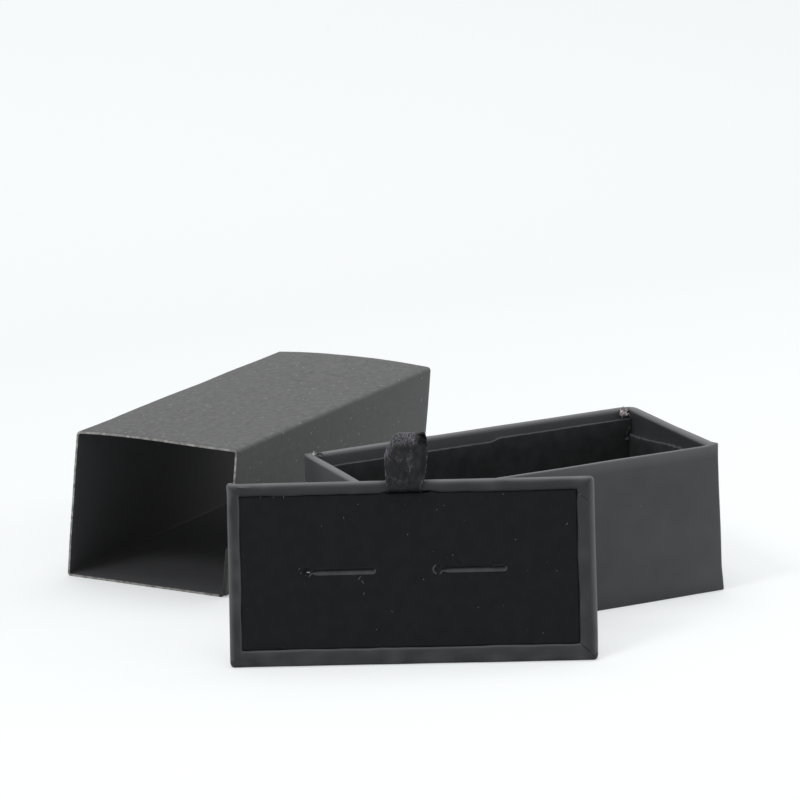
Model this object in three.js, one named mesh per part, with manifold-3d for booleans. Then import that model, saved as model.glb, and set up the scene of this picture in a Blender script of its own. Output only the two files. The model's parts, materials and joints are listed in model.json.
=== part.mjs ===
// A slide-out cufflink box laid out taken apart: a folded card sleeve, a wrapped rigid drawer, and a
// wrapped insert with a velvet pad and a ribbon pull that leans on the drawer's near corner.
// Millimetres, +Z up, drawer along X. The origin is the middle of the layout, on the table.
import * as THREE from "three";
import { mergeVertices } from "three/addons/utils/BufferGeometryUtils.js";
import Module from "manifold-3d";

const wasm = await Module();
wasm.setup();

// Drawer, outside its wrap
const drawerLength = 90;
const drawerWidth = 46;
const drawerHeight = 37;
const drawerCornerRadius = 0.8;
const drawerEdgeRadius = 0.35;
const drawerBoardThickness = 1;
const boardJointGap = 0.12;
const turnInDepth = 12;

// Sheet stock and the films between layers
const wrapThickness = 0.15;
const glueFilm = 0.05;
const stayThickness = 0.1;
const mitreCutWidth = 0.14;
const mitreCutEnd = 0.55;

// Corner stays
const stayReach = 9;
const stayFootGap = 2.5;
const stayHeadGap = 3;

// Liner strips and floor lining
const linerThickness = 1;
const seatDepth = 2.6;
const endLinerDrop = 1.4;
const floorLiningThickness = 0.4;
const floorLiningPlay = 0.1;

// Sleeve
const cardThickness = 0.6;
const sleeveSideRoom = 0.5;
const sleeveHeadroom = 0.6;
const sleeveOverhang = 1;
const foldRadius = 0.8;
const glueFlapWidth = 13;
const crownRise = 0.9;
const freeEdgeGap = 0.25;
const leastFold = THREE.MathUtils.degToRad(12);

// Insert
const insertPlay = 0.2;
const insertEndPlay = 0.35;
const insertBaseThickness = 0.8;
const insertFrameThickness = 1.6;
const insertCornerRadius = 1.1;
const insertEdgeRadius = 0.5;
const borderLeft = 3;
const borderRight = 4.2;
const borderTop = 3.1;
const borderBottom = 3.5;
const recessTurnIn = 4;

// Pad
const padPlay = 0.25;
const velvetThickness = 0.25;
const foamThickness = 1.1;
const velvetSkirtGap = 0.2;
const slitLength = 15.5;
const slitWidth = 0.5;
const slitSpacing = 30.7;
const slitShift = -0.85;
const punchRadius = 0.9;
const postSlotWidth = 3.4;
const postSlotMargin = 1.6;

// Ribbon
const ribbonWidth = 9.5;
const ribbonThickness = 0.25;
const ribbonLayerGap = 0.1;
const ribbonPlay = 0.3;
const ribbonTailLength = 10;
const loopHeight = 14.4;
const loopHalfBulge = 1.25;
const loopSwell = 0.3;

// How the three things lie
const sleeveTurn = THREE.MathUtils.degToRad(34.9);
const sleeveRack = THREE.MathUtils.degToRad(-8.4);
const sleeveStandoff = 19.9;
const sleeveAdvance = 7.6;
const insertTurn = THREE.MathUtils.degToRad(-26.9);
const insertLean = THREE.MathUtils.degToRad(16);
const insertShift = 7.8;
const leanGap = 0.3;

// Facets and the overrun of cutting tools
const arcSegments = 4;
const edgeSegments = 2;
const crownSegments = 10;
const loopSegments = 22;
const cutOverrun = 1;

const paint = {
  card: new THREE.MeshStandardMaterial({ color: 0x58585a, roughness: 0.85, metalness: 0 }),
  softTouch: new THREE.MeshStandardMaterial({ color: 0x444547, roughness: 0.6, metalness: 0 }),
  greyboard: new THREE.MeshStandardMaterial({ color: 0x8c8882, roughness: 0.95, metalness: 0 }),
  tape: new THREE.MeshStandardMaterial({ color: 0xb9a98a, roughness: 0.8, metalness: 0 }),
  lining: new THREE.MeshStandardMaterial({ color: 0x202122, roughness: 0.95, metalness: 0 }),
  foam: new THREE.MeshStandardMaterial({ color: 0x2b2b2c, roughness: 1, metalness: 0 }),
  velvet: new THREE.MeshStandardMaterial({ color: 0x1a1b1d, roughness: 1, metalness: 0 }),
  ribbon: new THREE.MeshStandardMaterial({ color: 0x1c1b20, roughness: 0.45, metalness: 0 }),
};

// Solids from three.js geometry, and back
function toSolid(geometry) {
  geometry.deleteAttribute("normal");
  geometry.deleteAttribute("uv");
  const welded = mergeVertices(geometry);
  const vertProperties = new Float32Array(welded.attributes.position.array);
  const triVerts = new Uint32Array(welded.index.array);
  return new wasm.Manifold(new wasm.Mesh({ numProp: 3, vertProperties, triVerts }));
}

function toMesh(name, solid, material) {
  const cut = solid.getMesh();
  const geometry = new THREE.BufferGeometry();
  geometry.setAttribute("position", new THREE.BufferAttribute(new Float32Array(cut.vertProperties), 3));
  geometry.setIndex(new THREE.BufferAttribute(new Uint32Array(cut.triVerts), 1));
  geometry.computeVertexNormals();
  const mesh = new THREE.Mesh(geometry, material);
  mesh.name = name;
  return mesh;
}

// Outlines in the plane, about a centre
function cornered(length, width, radius, x = 0, y = 0) {
  const shape = new THREE.Shape();
  const right = x + length / 2;
  const left = x - length / 2;
  const back = y + width / 2;
  const front = y - width / 2;
  if (radius <= 0) {
    shape.moveTo(left, front);
    shape.lineTo(right, front);
    shape.lineTo(right, back);
    shape.lineTo(left, back);
    return shape;
  }
  shape.moveTo(left + radius, front);
  shape.absarc(right - radius, front + radius, radius, -Math.PI / 2, 0);
  shape.absarc(right - radius, back - radius, radius, 0, Math.PI / 2);
  shape.absarc(left + radius, back - radius, radius, Math.PI / 2, Math.PI);
  shape.absarc(left + radius, front + radius, radius, Math.PI, 1.5 * Math.PI);
  return shape;
}

function strip(points) {
  return new THREE.Shape(points.map(([x, y]) => new THREE.Vector2(x, y)));
}

// A flat slab between two heights, and one with rounded upper and lower edges
function slab(shape, low, high) {
  const options = { depth: high - low, bevelEnabled: false, curveSegments: arcSegments };
  return toSolid(new THREE.ExtrudeGeometry(shape, options).translate(0, 0, low));
}

function softSlab(shape, low, high, radius) {
  const options = {
    depth: high - low - 2 * radius,
    bevelThickness: radius,
    bevelSize: radius,
    bevelOffset: -radius,
    bevelSegments: edgeSegments,
    curveSegments: arcSegments,
  };
  return toSolid(new THREE.ExtrudeGeometry(shape, options).translate(0, 0, low + radius));
}

// The slit of a mitre, from short of an inner corner to short of an outer one, all the way up
function mitreCut(inner, outer, low, high) {
  const direction = outer.clone().sub(inner).normalize();
  const from = inner.clone().addScaledVector(direction, -cutOverrun);
  const to = outer.clone().addScaledVector(direction, -mitreCutEnd);
  const middle = from.clone().add(to).divideScalar(2);
  return slab(cornered(from.distanceTo(to), mitreCutWidth, 0), low, high)
    .rotate([0, 0, THREE.MathUtils.radToDeg(direction.angle())])
    .translate([middle.x, middle.y, 0]);
}

// Layers of the drawer's wall, as depths in from its outside face
const stayOuter = wrapThickness + glueFilm;
const stayInner = stayOuter + stayThickness;
const boardOuter = stayInner + glueFilm;
const boardInner = boardOuter + drawerBoardThickness;
const turnInOuter = boardInner + glueFilm;
const drawerWall = turnInOuter + wrapThickness;
const linerOuter = drawerWall + glueFilm;
const linerInner = linerOuter + linerThickness;

// Heights inside the drawer
const boardFoot = wrapThickness + glueFilm;
const boardFloor = boardFoot + drawerBoardThickness;
const boardTop = drawerHeight - wrapThickness - glueFilm;
const liningFoot = boardFloor + glueFilm;
const seatHeight = drawerHeight - seatDepth;

// The drawer's plan, drawn in by a depth
function drawerPlan(depth) {
  const radius = Math.max(drawerCornerRadius - depth, 0);
  return cornered(drawerLength - 2 * depth, drawerWidth - 2 * depth, radius);
}

// Greyboard blank scored and folded up: the end walls meet the floor and leave a hairline to the
// long walls at each corner
function drawerBoard() {
  const wallEnd = drawerWidth / 2 - boardInner;
  let inside = slab(drawerPlan(boardInner), boardFloor, boardTop + cutOverrun);
  for (const side of [-1, 1]) {
    const joint = cornered(drawerLength, boardJointGap, 0, 0, side * (wallEnd - boardJointGap / 2));
    inside = inside.add(slab(joint, boardFloor, boardTop + cutOverrun));
  }
  return slab(drawerPlan(boardOuter), boardFoot, boardTop).subtract(inside);
}

// Paper tape round one outside corner of the board, under the wrap
function cornerStay(end, side) {
  const low = boardFoot + stayFootGap;
  const high = boardTop - stayHeadGap;
  const ring = slab(drawerPlan(stayOuter), low, high)
    .subtract(slab(drawerPlan(stayInner), low - cutOverrun, high + cutOverrun));
  const reach = stayReach + stayOuter;
  const x = end * (drawerLength - reach) / 2;
  const y = side * (drawerWidth - reach) / 2;
  return ring.intersect(slab(cornered(reach, reach, 0, x, y), low, high));
}

// Soft-touch paper: under the floor, up the walls, over the rim and turned in behind the liners,
// mitred on the rim at each corner
function drawerWrap() {
  const shell = softSlab(drawerPlan(0), 0, drawerHeight, drawerEdgeRadius);
  const turnInFoot = drawerHeight - turnInDepth;
  const space = slab(drawerPlan(wrapThickness), wrapThickness, drawerHeight - wrapThickness);
  const turnedIn = slab(drawerPlan(turnInOuter), turnInFoot, drawerHeight);
  const well = slab(drawerPlan(drawerWall), turnInFoot - cutOverrun, drawerHeight + cutOverrun);
  let wrap = shell.subtract(space.subtract(turnedIn)).subtract(well);
  for (const side of [-1, 1]) {
    for (const end of [-1, 1]) {
      const outer = new THREE.Vector2(end * drawerLength / 2, side * drawerWidth / 2);
      const inner = new THREE.Vector2(outer.x - end * drawerWall, outer.y - side * drawerWall);
      wrap = wrap.subtract(mitreCut(inner, outer, turnInFoot - cutOverrun, drawerHeight + cutOverrun));
    }
  }
  return wrap;
}

// Covered strips that line the walls: the insert lies on the two long ones
function longLiner(side) {
  const length = drawerLength - 2 * linerOuter;
  const y = side * (drawerWidth / 2 - linerOuter - linerThickness / 2);
  return slab(cornered(length, linerThickness, 0, 0, y), liningFoot, seatHeight);
}

function endLiner(end) {
  const width = drawerWidth - 2 * (linerInner + glueFilm);
  const x = end * (drawerLength / 2 - linerOuter - linerThickness / 2);
  return slab(cornered(linerThickness, width, 0, x, 0), liningFoot, seatHeight - endLinerDrop);
}

function floorLining() {
  const play = linerInner + floorLiningPlay;
  const plan = cornered(drawerLength - 2 * play, drawerWidth - 2 * play, 0);
  return slab(plan, liningFoot, liningFoot + floorLiningThickness);
}

// One strip of card followed round its folds, as a closed outline: the middle line of the sheet is
// walked with a curve at each fold, and set off by half the thickness to both sides. A turn smaller
// than the least fold is a bow of the panel and stays as it is.
function foldedOutline(corners, radius, thickness) {
  const middle = [corners[0]];
  for (let i = 1; i < corners.length - 1; i += 1) {
    const here = corners[i];
    const back = corners[i - 1].clone().sub(here);
    const ahead = corners[i + 1].clone().sub(here);
    const corner = Math.acos(back.clone().normalize().dot(ahead.clone().normalize()));
    if (Math.PI - corner < leastFold) {
      middle.push(here);
      continue;
    }
    const reach = radius / Math.tan(corner / 2);
    const start = here.clone().add(back.setLength(reach));
    const end = here.clone().add(ahead.setLength(reach));
    const bend = new THREE.QuadraticBezierCurve(start, here, end);
    middle.push(...bend.getPoints(arcSegments));
  }
  middle.push(corners[corners.length - 1]);
  const outline = [];
  const mirrored = [];
  middle.forEach((point, i) => {
    const before = i > 0 ? point.clone().sub(middle[i - 1]).normalize() : null;
    const after = i < middle.length - 1 ? middle[i + 1].clone().sub(point).normalize() : null;
    const run = (before ?? after).clone().add(after ?? before).normalize();
    const stretch = run.dot(before ?? after);
    const reach = thickness / 2 / stretch;
    outline.push(new THREE.Vector2(point.x - run.y * reach, point.y + run.x * reach));
    mirrored.unshift(new THREE.Vector2(point.x + run.y * reach, point.y - run.x * reach));
  });
  return new THREE.Shape([...outline, ...mirrored]);
}

// The sleeve fits round the drawer
const sleeveLength = drawerLength + 2 * sleeveOverhang;
const sleeveWidth = drawerWidth + 2 * sleeveSideRoom + 2 * cardThickness;
const sleeveHeight = drawerHeight + sleeveHeadroom + 2 * cardThickness;

// Section of the tube, leaning out of square: glue flap inside the right wall, floor, left wall,
// crowned top, right wall. Extruded along the sleeve's own length.
function sleeveCard() {
  const low = cardThickness / 2;
  const leaning = (across, height) => new THREE.Vector2(
    across + (height - low) * Math.sin(sleeveRack),
    low + (height - low) * Math.cos(sleeveRack),
  );
  const wall = (sleeveWidth - cardThickness) / 2;
  const flap = wall - cardThickness - glueFilm;
  const high = sleeveHeight - low;
  const corners = [
    leaning(-flap, glueFlapWidth),
    leaning(-flap, low),
    leaning(wall, low),
    leaning(wall, high),
  ];
  for (let i = 1; i < crownSegments; i += 1) {
    const share = 1 - (2 * i) / crownSegments;
    corners.push(leaning(wall * share, high + crownRise * (1 - share * share)));
  }
  corners.push(leaning(-wall, high), leaning(-wall, freeEdgeGap));
  const section = foldedOutline(corners, foldRadius, cardThickness);
  const options = { depth: sleeveLength, bevelEnabled: false };
  const tube = new THREE.ExtrudeGeometry(section, options).translate(0, 0, -sleeveLength / 2);
  return toSolid(tube.rotateX(Math.PI / 2).rotateZ(Math.PI / 2));
}

// The insert drops into the drawer's mouth
const insertLength = drawerLength - 2 * (drawerWall + insertEndPlay);
const insertWidth = drawerWidth - 2 * (drawerWall + insertPlay);
const insertBaseFoot = wrapThickness + glueFilm;
const insertBaseTop = insertBaseFoot + insertBaseThickness;
const insertFrameFoot = insertBaseTop + glueFilm;
const insertFrameTop = insertFrameFoot + insertFrameThickness;
const insertThickness = insertFrameTop + glueFilm + wrapThickness;

// The recess and the pad share a centre, left of the insert's own because the right border is wider
const recessLength = insertLength - borderLeft - borderRight;
const recessWidth = insertWidth - borderTop - borderBottom;
const padX = (borderLeft - borderRight) / 2;
const padY = borderBottom + recessWidth / 2;
const padFoot = insertFrameFoot + wrapThickness + glueFilm;
const foamTop = padFoot + foamThickness;
const velvetTop = foamTop + glueFilm + velvetThickness;

function insertPlan(depth) {
  const radius = Math.max(insertCornerRadius - depth, 0);
  return cornered(insertLength - 2 * depth, insertWidth - 2 * depth, radius, 0, insertWidth / 2);
}

function recessPlan(depth) {
  return cornered(recessLength - 2 * depth, recessWidth - 2 * depth, 0, padX, padY);
}

// The two slits, a little left of the pad's middle, each with its punched end, and the wider slots
// behind them for a cufflink's post
const slitPlaces = [-1, 1].map((side) => padX + slitShift + (side * slitSpacing) / 2);

function slitCuts(low, high) {
  const cuts = slitPlaces.map((x) => {
    const hole = new THREE.Shape();
    hole.absarc(x - slitLength / 2, padY, punchRadius, 0, 2 * Math.PI);
    return slab(cornered(slitLength, slitWidth, 0, x, padY), low, high).add(slab(hole, low, high));
  });
  return cuts[0].add(cuts[1]);
}

function postSlots(low, high, growth) {
  const length = slitLength + 2 * (postSlotMargin + growth);
  const width = postSlotWidth + 2 * growth;
  const slots = slitPlaces.map((x) => slab(cornered(length, width, width / 2, x, padY), low, high));
  return slots[0].add(slots[1]);
}

function insertBase() {
  const plate = slab(insertPlan(insertBaseFoot), insertBaseFoot, insertBaseTop);
  return plate.subtract(postSlots(insertBaseFoot - cutOverrun, insertBaseTop + cutOverrun, 0));
}

function insertFrame() {
  const plate = slab(insertPlan(insertBaseFoot), insertFrameFoot, insertFrameTop);
  const opening = recessPlan(-wrapThickness - glueFilm);
  return plate.subtract(slab(opening, insertFrameFoot - cutOverrun, insertFrameTop + cutOverrun));
}

// Paper round the insert's back and edges, over the border, down the recess and in under the pad.
// The mitres run from the recess's corners towards the insert's own.
function insertWrap() {
  const shell = softSlab(insertPlan(0), 0, insertThickness, insertEdgeRadius);
  const baseSpace = slab(insertPlan(wrapThickness), wrapThickness, insertFrameFoot);
  const frameSpace = slab(insertPlan(wrapThickness), wrapThickness, insertThickness - wrapThickness)
    .subtract(slab(recessPlan(-wrapThickness), insertFrameFoot, insertThickness));
  const well = slab(recessPlan(0), insertFrameFoot + wrapThickness, insertThickness + cutOverrun);
  const window = slab(recessPlan(recessTurnIn), insertFrameFoot - glueFilm, insertThickness);
  let wrap = shell.subtract(baseSpace.add(frameSpace)).subtract(well.add(window));
  wrap = wrap.subtract(postSlots(-cutOverrun, insertBaseFoot, glueFilm));
  for (const side of [-1, 1]) {
    for (const end of [-1, 1]) {
      const inner = new THREE.Vector2(padX + end * recessLength / 2, padY + side * recessWidth / 2);
      const outer = new THREE.Vector2(end * insertLength / 2, insertWidth / 2 + side * insertWidth / 2);
      wrap = wrap.subtract(mitreCut(inner, outer, insertFrameTop, insertThickness + cutOverrun));
    }
  }
  return wrap;
}

// Pad: foam, and velvet over its front and down its edges
const ribbonStack = 2 * ribbonThickness + ribbonLayerGap;
const tailNotch = ribbonStack + ribbonPlay;
const tailPlanWidth = ribbonWidth + 2 * ribbonPlay;
const foamInset = padPlay + velvetThickness + glueFilm;

// Room for the ribbon at the middle of the pad's upper edge, and for its tail under the pad
function ribbonRoom() {
  const edge = padY + recessWidth / 2;
  const riserDepth = tailNotch + padPlay;
  const riser = slab(
    cornered(tailPlanWidth, riserDepth, 0, padX, edge - riserDepth / 2),
    insertFrameFoot,
    insertThickness,
  );
  const length = ribbonTailLength + tailNotch + padPlay;
  const tail = slab(
    cornered(tailPlanWidth, length, 0, padX, edge - length / 2),
    insertFrameFoot,
    padFoot + tailNotch,
  );
  return riser.add(tail);
}

function foamPad() {
  const block = slab(recessPlan(foamInset), padFoot, foamTop);
  return block.subtract(slitCuts(padFoot - cutOverrun, foamTop + cutOverrun)).subtract(ribbonRoom());
}

function velvetCover() {
  const skirtFoot = padFoot + velvetSkirtGap;
  const block = softSlab(recessPlan(padPlay), skirtFoot - cutOverrun, velvetTop, velvetThickness / 2)
    .subtract(slab(recessPlan(0), skirtFoot - 2 * cutOverrun, skirtFoot));
  const inside = slab(recessPlan(padPlay + velvetThickness), skirtFoot - cutOverrun, foamTop + glueFilm);
  return block.subtract(inside).subtract(slitCuts(foamTop, velvetTop + cutOverrun)).subtract(ribbonRoom());
}

// Ribbon: both ends lie glued under the pad and rise through the gap at its upper edge
const riserMiddle = padY + recessWidth / 2 - ribbonPlay / 2 - ribbonStack / 2;

function ribbonTail() {
  const riserTop = riserMiddle + ribbonStack / 2;
  const riserFoot = riserMiddle - ribbonStack / 2;
  const tailEnd = riserFoot - ribbonTailLength;
  const side = strip([
    [tailEnd, padFoot],
    [riserTop, padFoot],
    [riserTop, insertThickness],
    [riserFoot, insertThickness],
    [riserFoot, padFoot + ribbonStack],
    [tailEnd, padFoot + ribbonStack],
  ]);
  return ribbonExtrusion(side);
}

// A side view in (height up the insert, depth to its front), extruded across the ribbon's width
function ribbonExtrusion(side) {
  const options = { depth: ribbonWidth, bevelEnabled: false };
  const solid = new THREE.ExtrudeGeometry(side, options).translate(0, 0, -ribbonWidth / 2);
  const across = new THREE.Matrix4().makeBasis(
    new THREE.Vector3(0, 1, 0),
    new THREE.Vector3(0, 0, 1),
    new THREE.Vector3(1, 0, 0),
  );
  return toSolid(solid.applyMatrix4(across).translate(padX, 0, 0));
}

// The loop's two layers are pinched at its foot and open to a drop-shaped fold at its head
const loopDepth = insertThickness + ribbonPlay + ribbonStack / 2 + loopSwell;

function loopOutline(inset) {
  const points = [];
  const foot = riserMiddle + inset;
  const rise = loopHeight - 2 * inset;
  const pinch = ribbonStack / 2 - inset;
  const bulge = loopHalfBulge - inset;
  for (let i = 0; i < loopSegments; i += 1) {
    const turn = (2 * Math.PI * i) / loopSegments;
    const share = (1 - Math.cos(turn)) / 2;
    const side = i < loopSegments / 2 ? -1 : 1;
    const half = pinch * (1 - share) + bulge * share * Math.abs(Math.sin(turn));
    points.push(new THREE.Vector2(foot + rise * share, loopDepth + side * half));
  }
  return points;
}

function ribbonLoop() {
  const side = new THREE.Shape(loopOutline(0));
  side.holes.push(new THREE.Path(loopOutline(ribbonThickness)));
  return ribbonExtrusion(side);
}

// Sleeve: placed from the drawer's back left corner
const sleeve = new THREE.Group();
const sleeveAlong = new THREE.Vector3(Math.cos(sleeveTurn), Math.sin(sleeveTurn), 0);
const sleeveAcross = new THREE.Vector3(-Math.sin(sleeveTurn), Math.cos(sleeveTurn), 0);
sleeve.position.set(-drawerLength / 2, drawerWidth / 2, 0)
  .addScaledVector(sleeveAlong, sleeveLength / 2 - sleeveAdvance)
  .addScaledVector(sleeveAcross, sleeveStandoff + sleeveWidth / 2);
sleeve.rotation.z = sleeveTurn;
sleeve.add(toMesh("sleeve_card", sleeveCard(), paint.card));

const drawer = new THREE.Group();
drawer.add(toMesh("drawer_board", drawerBoard(), paint.greyboard));
for (const [sideName, side] of [["front", -1], ["back", 1]]) {
  for (const [endName, end] of [["left", -1], ["right", 1]]) {
    drawer.add(toMesh(`corner_stay_${sideName}_${endName}`, cornerStay(end, side), paint.tape));
  }
}
drawer.add(toMesh("drawer_wrap", drawerWrap(), paint.softTouch));
drawer.add(toMesh("liner_front", longLiner(-1), paint.lining));
drawer.add(toMesh("liner_back", longLiner(1), paint.lining));
drawer.add(toMesh("liner_left", endLiner(-1), paint.lining));
drawer.add(toMesh("liner_right", endLiner(1), paint.lining));
drawer.add(toMesh("floor_lining", floorLining(), paint.lining));

// Insert: stands on its back lower edge and leans on the drawer's front left corner, at the rim or
// at its own upper edge, whichever is lower
const insertStand = new THREE.Group();
const insertFacing = new THREE.Vector3(Math.sin(insertTurn), -Math.cos(insertTurn), 0);
const insertAlong = new THREE.Vector3(Math.cos(insertTurn), Math.sin(insertTurn), 0);
const leanHeight = Math.min(drawerHeight, insertWidth * Math.cos(insertLean));
const leanReach = leanHeight * Math.tan(insertLean) + leanGap / Math.cos(insertLean);
insertStand.position.set(-drawerLength / 2, -drawerWidth / 2, 0)
  .addScaledVector(insertAlong, insertShift)
  .addScaledVector(insertFacing, leanReach);
insertStand.rotation.z = insertTurn;
const insert = new THREE.Group();
insert.rotation.x = Math.PI / 2 - insertLean;
insertStand.add(insert);
insert.add(toMesh("insert_base", insertBase(), paint.greyboard));
insert.add(toMesh("insert_frame", insertFrame(), paint.greyboard));
insert.add(toMesh("insert_wrap", insertWrap(), paint.softTouch));
insert.add(toMesh("foam_pad", foamPad(), paint.foam));
insert.add(toMesh("velvet_cover", velvetCover(), paint.velvet));
insert.add(toMesh("ribbon_tail", ribbonTail(), paint.ribbon));
insert.add(toMesh("ribbon_loop", ribbonLoop(), paint.ribbon));

insertStand.updateMatrixWorld(true);
insertStand.position.z = -new THREE.Box3().setFromObject(insertStand, true).min.z;

// The layout's middle, on the table, is the origin
const layout = new THREE.Group();
layout.add(sleeve, drawer, insertStand);
layout.updateMatrixWorld(true);
const middle = new THREE.Box3().setFromObject(layout, true).getCenter(new THREE.Vector3());
layout.position.set(-middle.x, -middle.y, 0);

const cufflinkBox = new THREE.Group();
cufflinkBox.add(layout);

export default cufflinkBox;
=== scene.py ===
# A slide-out cufflink box, laid out taken apart: a folded card sleeve, a wrapped rigid drawer, and a
# wrapped insert with a velvet pad and a ribbon pull, which leans on the drawer's near corner.
import json
import math

import bmesh
import bpy
from mathutils import Matrix, Vector, noise


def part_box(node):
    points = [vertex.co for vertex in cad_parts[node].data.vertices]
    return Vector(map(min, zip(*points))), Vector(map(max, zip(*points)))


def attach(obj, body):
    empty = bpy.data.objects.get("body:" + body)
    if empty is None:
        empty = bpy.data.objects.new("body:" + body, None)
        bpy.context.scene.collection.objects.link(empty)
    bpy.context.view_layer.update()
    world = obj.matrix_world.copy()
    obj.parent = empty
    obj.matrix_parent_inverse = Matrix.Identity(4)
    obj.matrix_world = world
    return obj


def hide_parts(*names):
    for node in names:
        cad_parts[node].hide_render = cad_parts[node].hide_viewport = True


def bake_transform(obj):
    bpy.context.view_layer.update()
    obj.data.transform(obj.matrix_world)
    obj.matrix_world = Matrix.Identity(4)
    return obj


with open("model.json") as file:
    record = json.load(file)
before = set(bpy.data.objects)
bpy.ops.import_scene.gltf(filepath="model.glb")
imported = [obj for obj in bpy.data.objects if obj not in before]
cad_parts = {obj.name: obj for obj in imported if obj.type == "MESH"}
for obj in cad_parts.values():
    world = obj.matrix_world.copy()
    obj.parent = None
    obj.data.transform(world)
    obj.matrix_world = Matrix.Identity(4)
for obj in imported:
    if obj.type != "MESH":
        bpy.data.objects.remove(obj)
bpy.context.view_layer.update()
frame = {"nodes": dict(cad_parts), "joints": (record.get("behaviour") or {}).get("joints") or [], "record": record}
scene = bpy.context.scene
scene.view_settings.view_transform = "Standard"
MM = 0.001

# Blender seeds its vector noise from the clock, so a fixed seed keeps each run the same.
NOISE_SEED = 1
noise.seed_set(NOISE_SEED)

# Camera: a long lens a little above the table, aimed into the angle between the sleeve and the
# drawer, and turned a little about its own axis.
CAMERA_PLACE = Vector((-388.5, -935.1, 298.0)) * MM
CAMERA_HEADING = math.radians(23.02)
CAMERA_PITCH = math.radians(14.04)
CAMERA_ROLL = math.radians(2.39)
CAMERA_LENS = 189.0
CAMERA_FILM_WIDTH = 36.0
CAMERA_SEES_FROM = 50.0
CAMERA_SEES_TO = 20000.0

ahead = Vector((
    math.sin(CAMERA_HEADING) * math.cos(CAMERA_PITCH),
    math.cos(CAMERA_HEADING) * math.cos(CAMERA_PITCH),
    -math.sin(CAMERA_PITCH),
))
level = Vector((math.cos(CAMERA_HEADING), -math.sin(CAMERA_HEADING), 0))
upright = level.cross(ahead)
camera_right = level * math.cos(CAMERA_ROLL) - upright * math.sin(CAMERA_ROLL)
camera_top = level * math.sin(CAMERA_ROLL) + upright * math.cos(CAMERA_ROLL)
camera_data = bpy.data.cameras.new("camera")
camera_data.lens = CAMERA_LENS
camera_data.sensor_width = CAMERA_FILM_WIDTH
camera_data.clip_start = CAMERA_SEES_FROM * MM
camera_data.clip_end = CAMERA_SEES_TO * MM
camera = bpy.data.objects.new("camera", camera_data)
scene.collection.objects.link(camera)
scene.camera = camera
turned = Matrix((camera_right, camera_top, -ahead)).transposed().to_4x4()
camera.matrix_world = Matrix.Translation(CAMERA_PLACE) @ turned


# Table and light, in metres: a white table under one large soft lamp, with weaker ones from the right
# and from the left front, in a white room. The camera alone sees the table lifted towards white, with
# its shadows, because a table as white as the photograph's would throw too much light up at the card.
TABLE_HALF = 3.0
TABLE_COLOUR = "#e8eaeb"
TABLE_SEEN_COLOUR = "#d9dbdc"
ROOM_COLOUR = "#f6f8f9"
ROOM_LIGHT = 0.35
TABLE_NEAR_LIFT = 0.44
TABLE_MIDDLE_LIFT = 0.375
TABLE_FAR_LIFT = 0.56
TABLE_NEAR = (-0.12, 0.28)
TABLE_FAR = (0.28, 1.0)
LAMPS = {
    "lamp_above": {"place": (0.1, 0.15, 1.3), "size": 1.1, "power": 8.0},
    "lamp_right": {"place": (1.2, -0.3, 0.5), "size": 0.8, "power": 3.0},
    "lamp_left": {"place": (-0.75, -0.2, 1.15), "size": 0.3, "power": 2.6},
}


def linear(hex_colour):
    """An sRGB hex colour as the linear colour that Blender's sockets take."""
    shares = [int(hex_colour[i:i + 2], 16) / 255 for i in (1, 3, 5)]
    return [c / 12.92 if c <= 0.04045 else ((c + 0.055) / 1.055) ** 2.4 for c in shares] + [1.0]


def add_node(tree, kind, settings=None, links=None):
    """Adds a shader node, sets its properties or sockets, and links its sockets to others' outputs."""
    node = tree.nodes.new("ShaderNode" + kind)
    for key, value in (settings or {}).items():
        if isinstance(key, str) and hasattr(node, key):
            setattr(node, key, value)
        else:
            node.inputs[key].default_value = value
    for key, output in (links or {}).items():
        tree.links.new(output, node.inputs[key])
    return node


def empty_paint(name):
    """A new material that has no nodes yet."""
    paint = bpy.data.materials.new(name)
    paint.use_nodes = True
    paint.node_tree.nodes.clear()
    return paint


# White laminate, dull: it takes soft shadows and shows no highlight.
table_paint = empty_paint("white_laminate")
tree = table_paint.node_tree
ray = add_node(tree, "LightPath")
plain = add_node(tree, "BsdfDiffuse", {"Color": linear(TABLE_COLOUR)})
shaded = add_node(tree, "BsdfDiffuse", {"Color": linear(TABLE_SEEN_COLOUR)})
at = add_node(tree, "TexCoord").outputs["Object"]
away = add_node(tree, "SeparateXYZ", links={"Vector": at}).outputs["Y"]
near = add_node(tree, "MapRange", {
    "From Min": TABLE_NEAR[0], "From Max": TABLE_NEAR[1],
    "To Min": TABLE_NEAR_LIFT, "To Max": TABLE_MIDDLE_LIFT}, {"Value": away})
far = add_node(tree, "MapRange", {
    "From Min": TABLE_FAR[0], "From Max": TABLE_FAR[1],
    "To Min": 0.0, "To Max": TABLE_FAR_LIFT - TABLE_MIDDLE_LIFT}, {"Value": away})
lift = add_node(tree, "Math", {"operation": "ADD"}, {0: near.outputs[0], 1: far.outputs[0]})
shine = add_node(tree, "Emission", {"Color": linear(ROOM_COLOUR)}, {"Strength": lift.outputs[0]})
lifted = add_node(tree, "AddShader", links={0: shaded.outputs[0], 1: shine.outputs[0]})
seen = add_node(tree, "MixShader", links={
    0: ray.outputs["Is Camera Ray"], 1: plain.outputs[0], 2: lifted.outputs[0]})
add_node(tree, "OutputMaterial", links={"Surface": seen.outputs[0]})

bm = bmesh.new()
bmesh.ops.create_grid(bm, x_segments=1, y_segments=1, size=TABLE_HALF)
table_mesh = bpy.data.meshes.new("table")
bm.to_mesh(table_mesh)
bm.free()
table_mesh.materials.append(table_paint)
table = bpy.data.objects.new("table", table_mesh)
scene.collection.objects.link(table)

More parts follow.
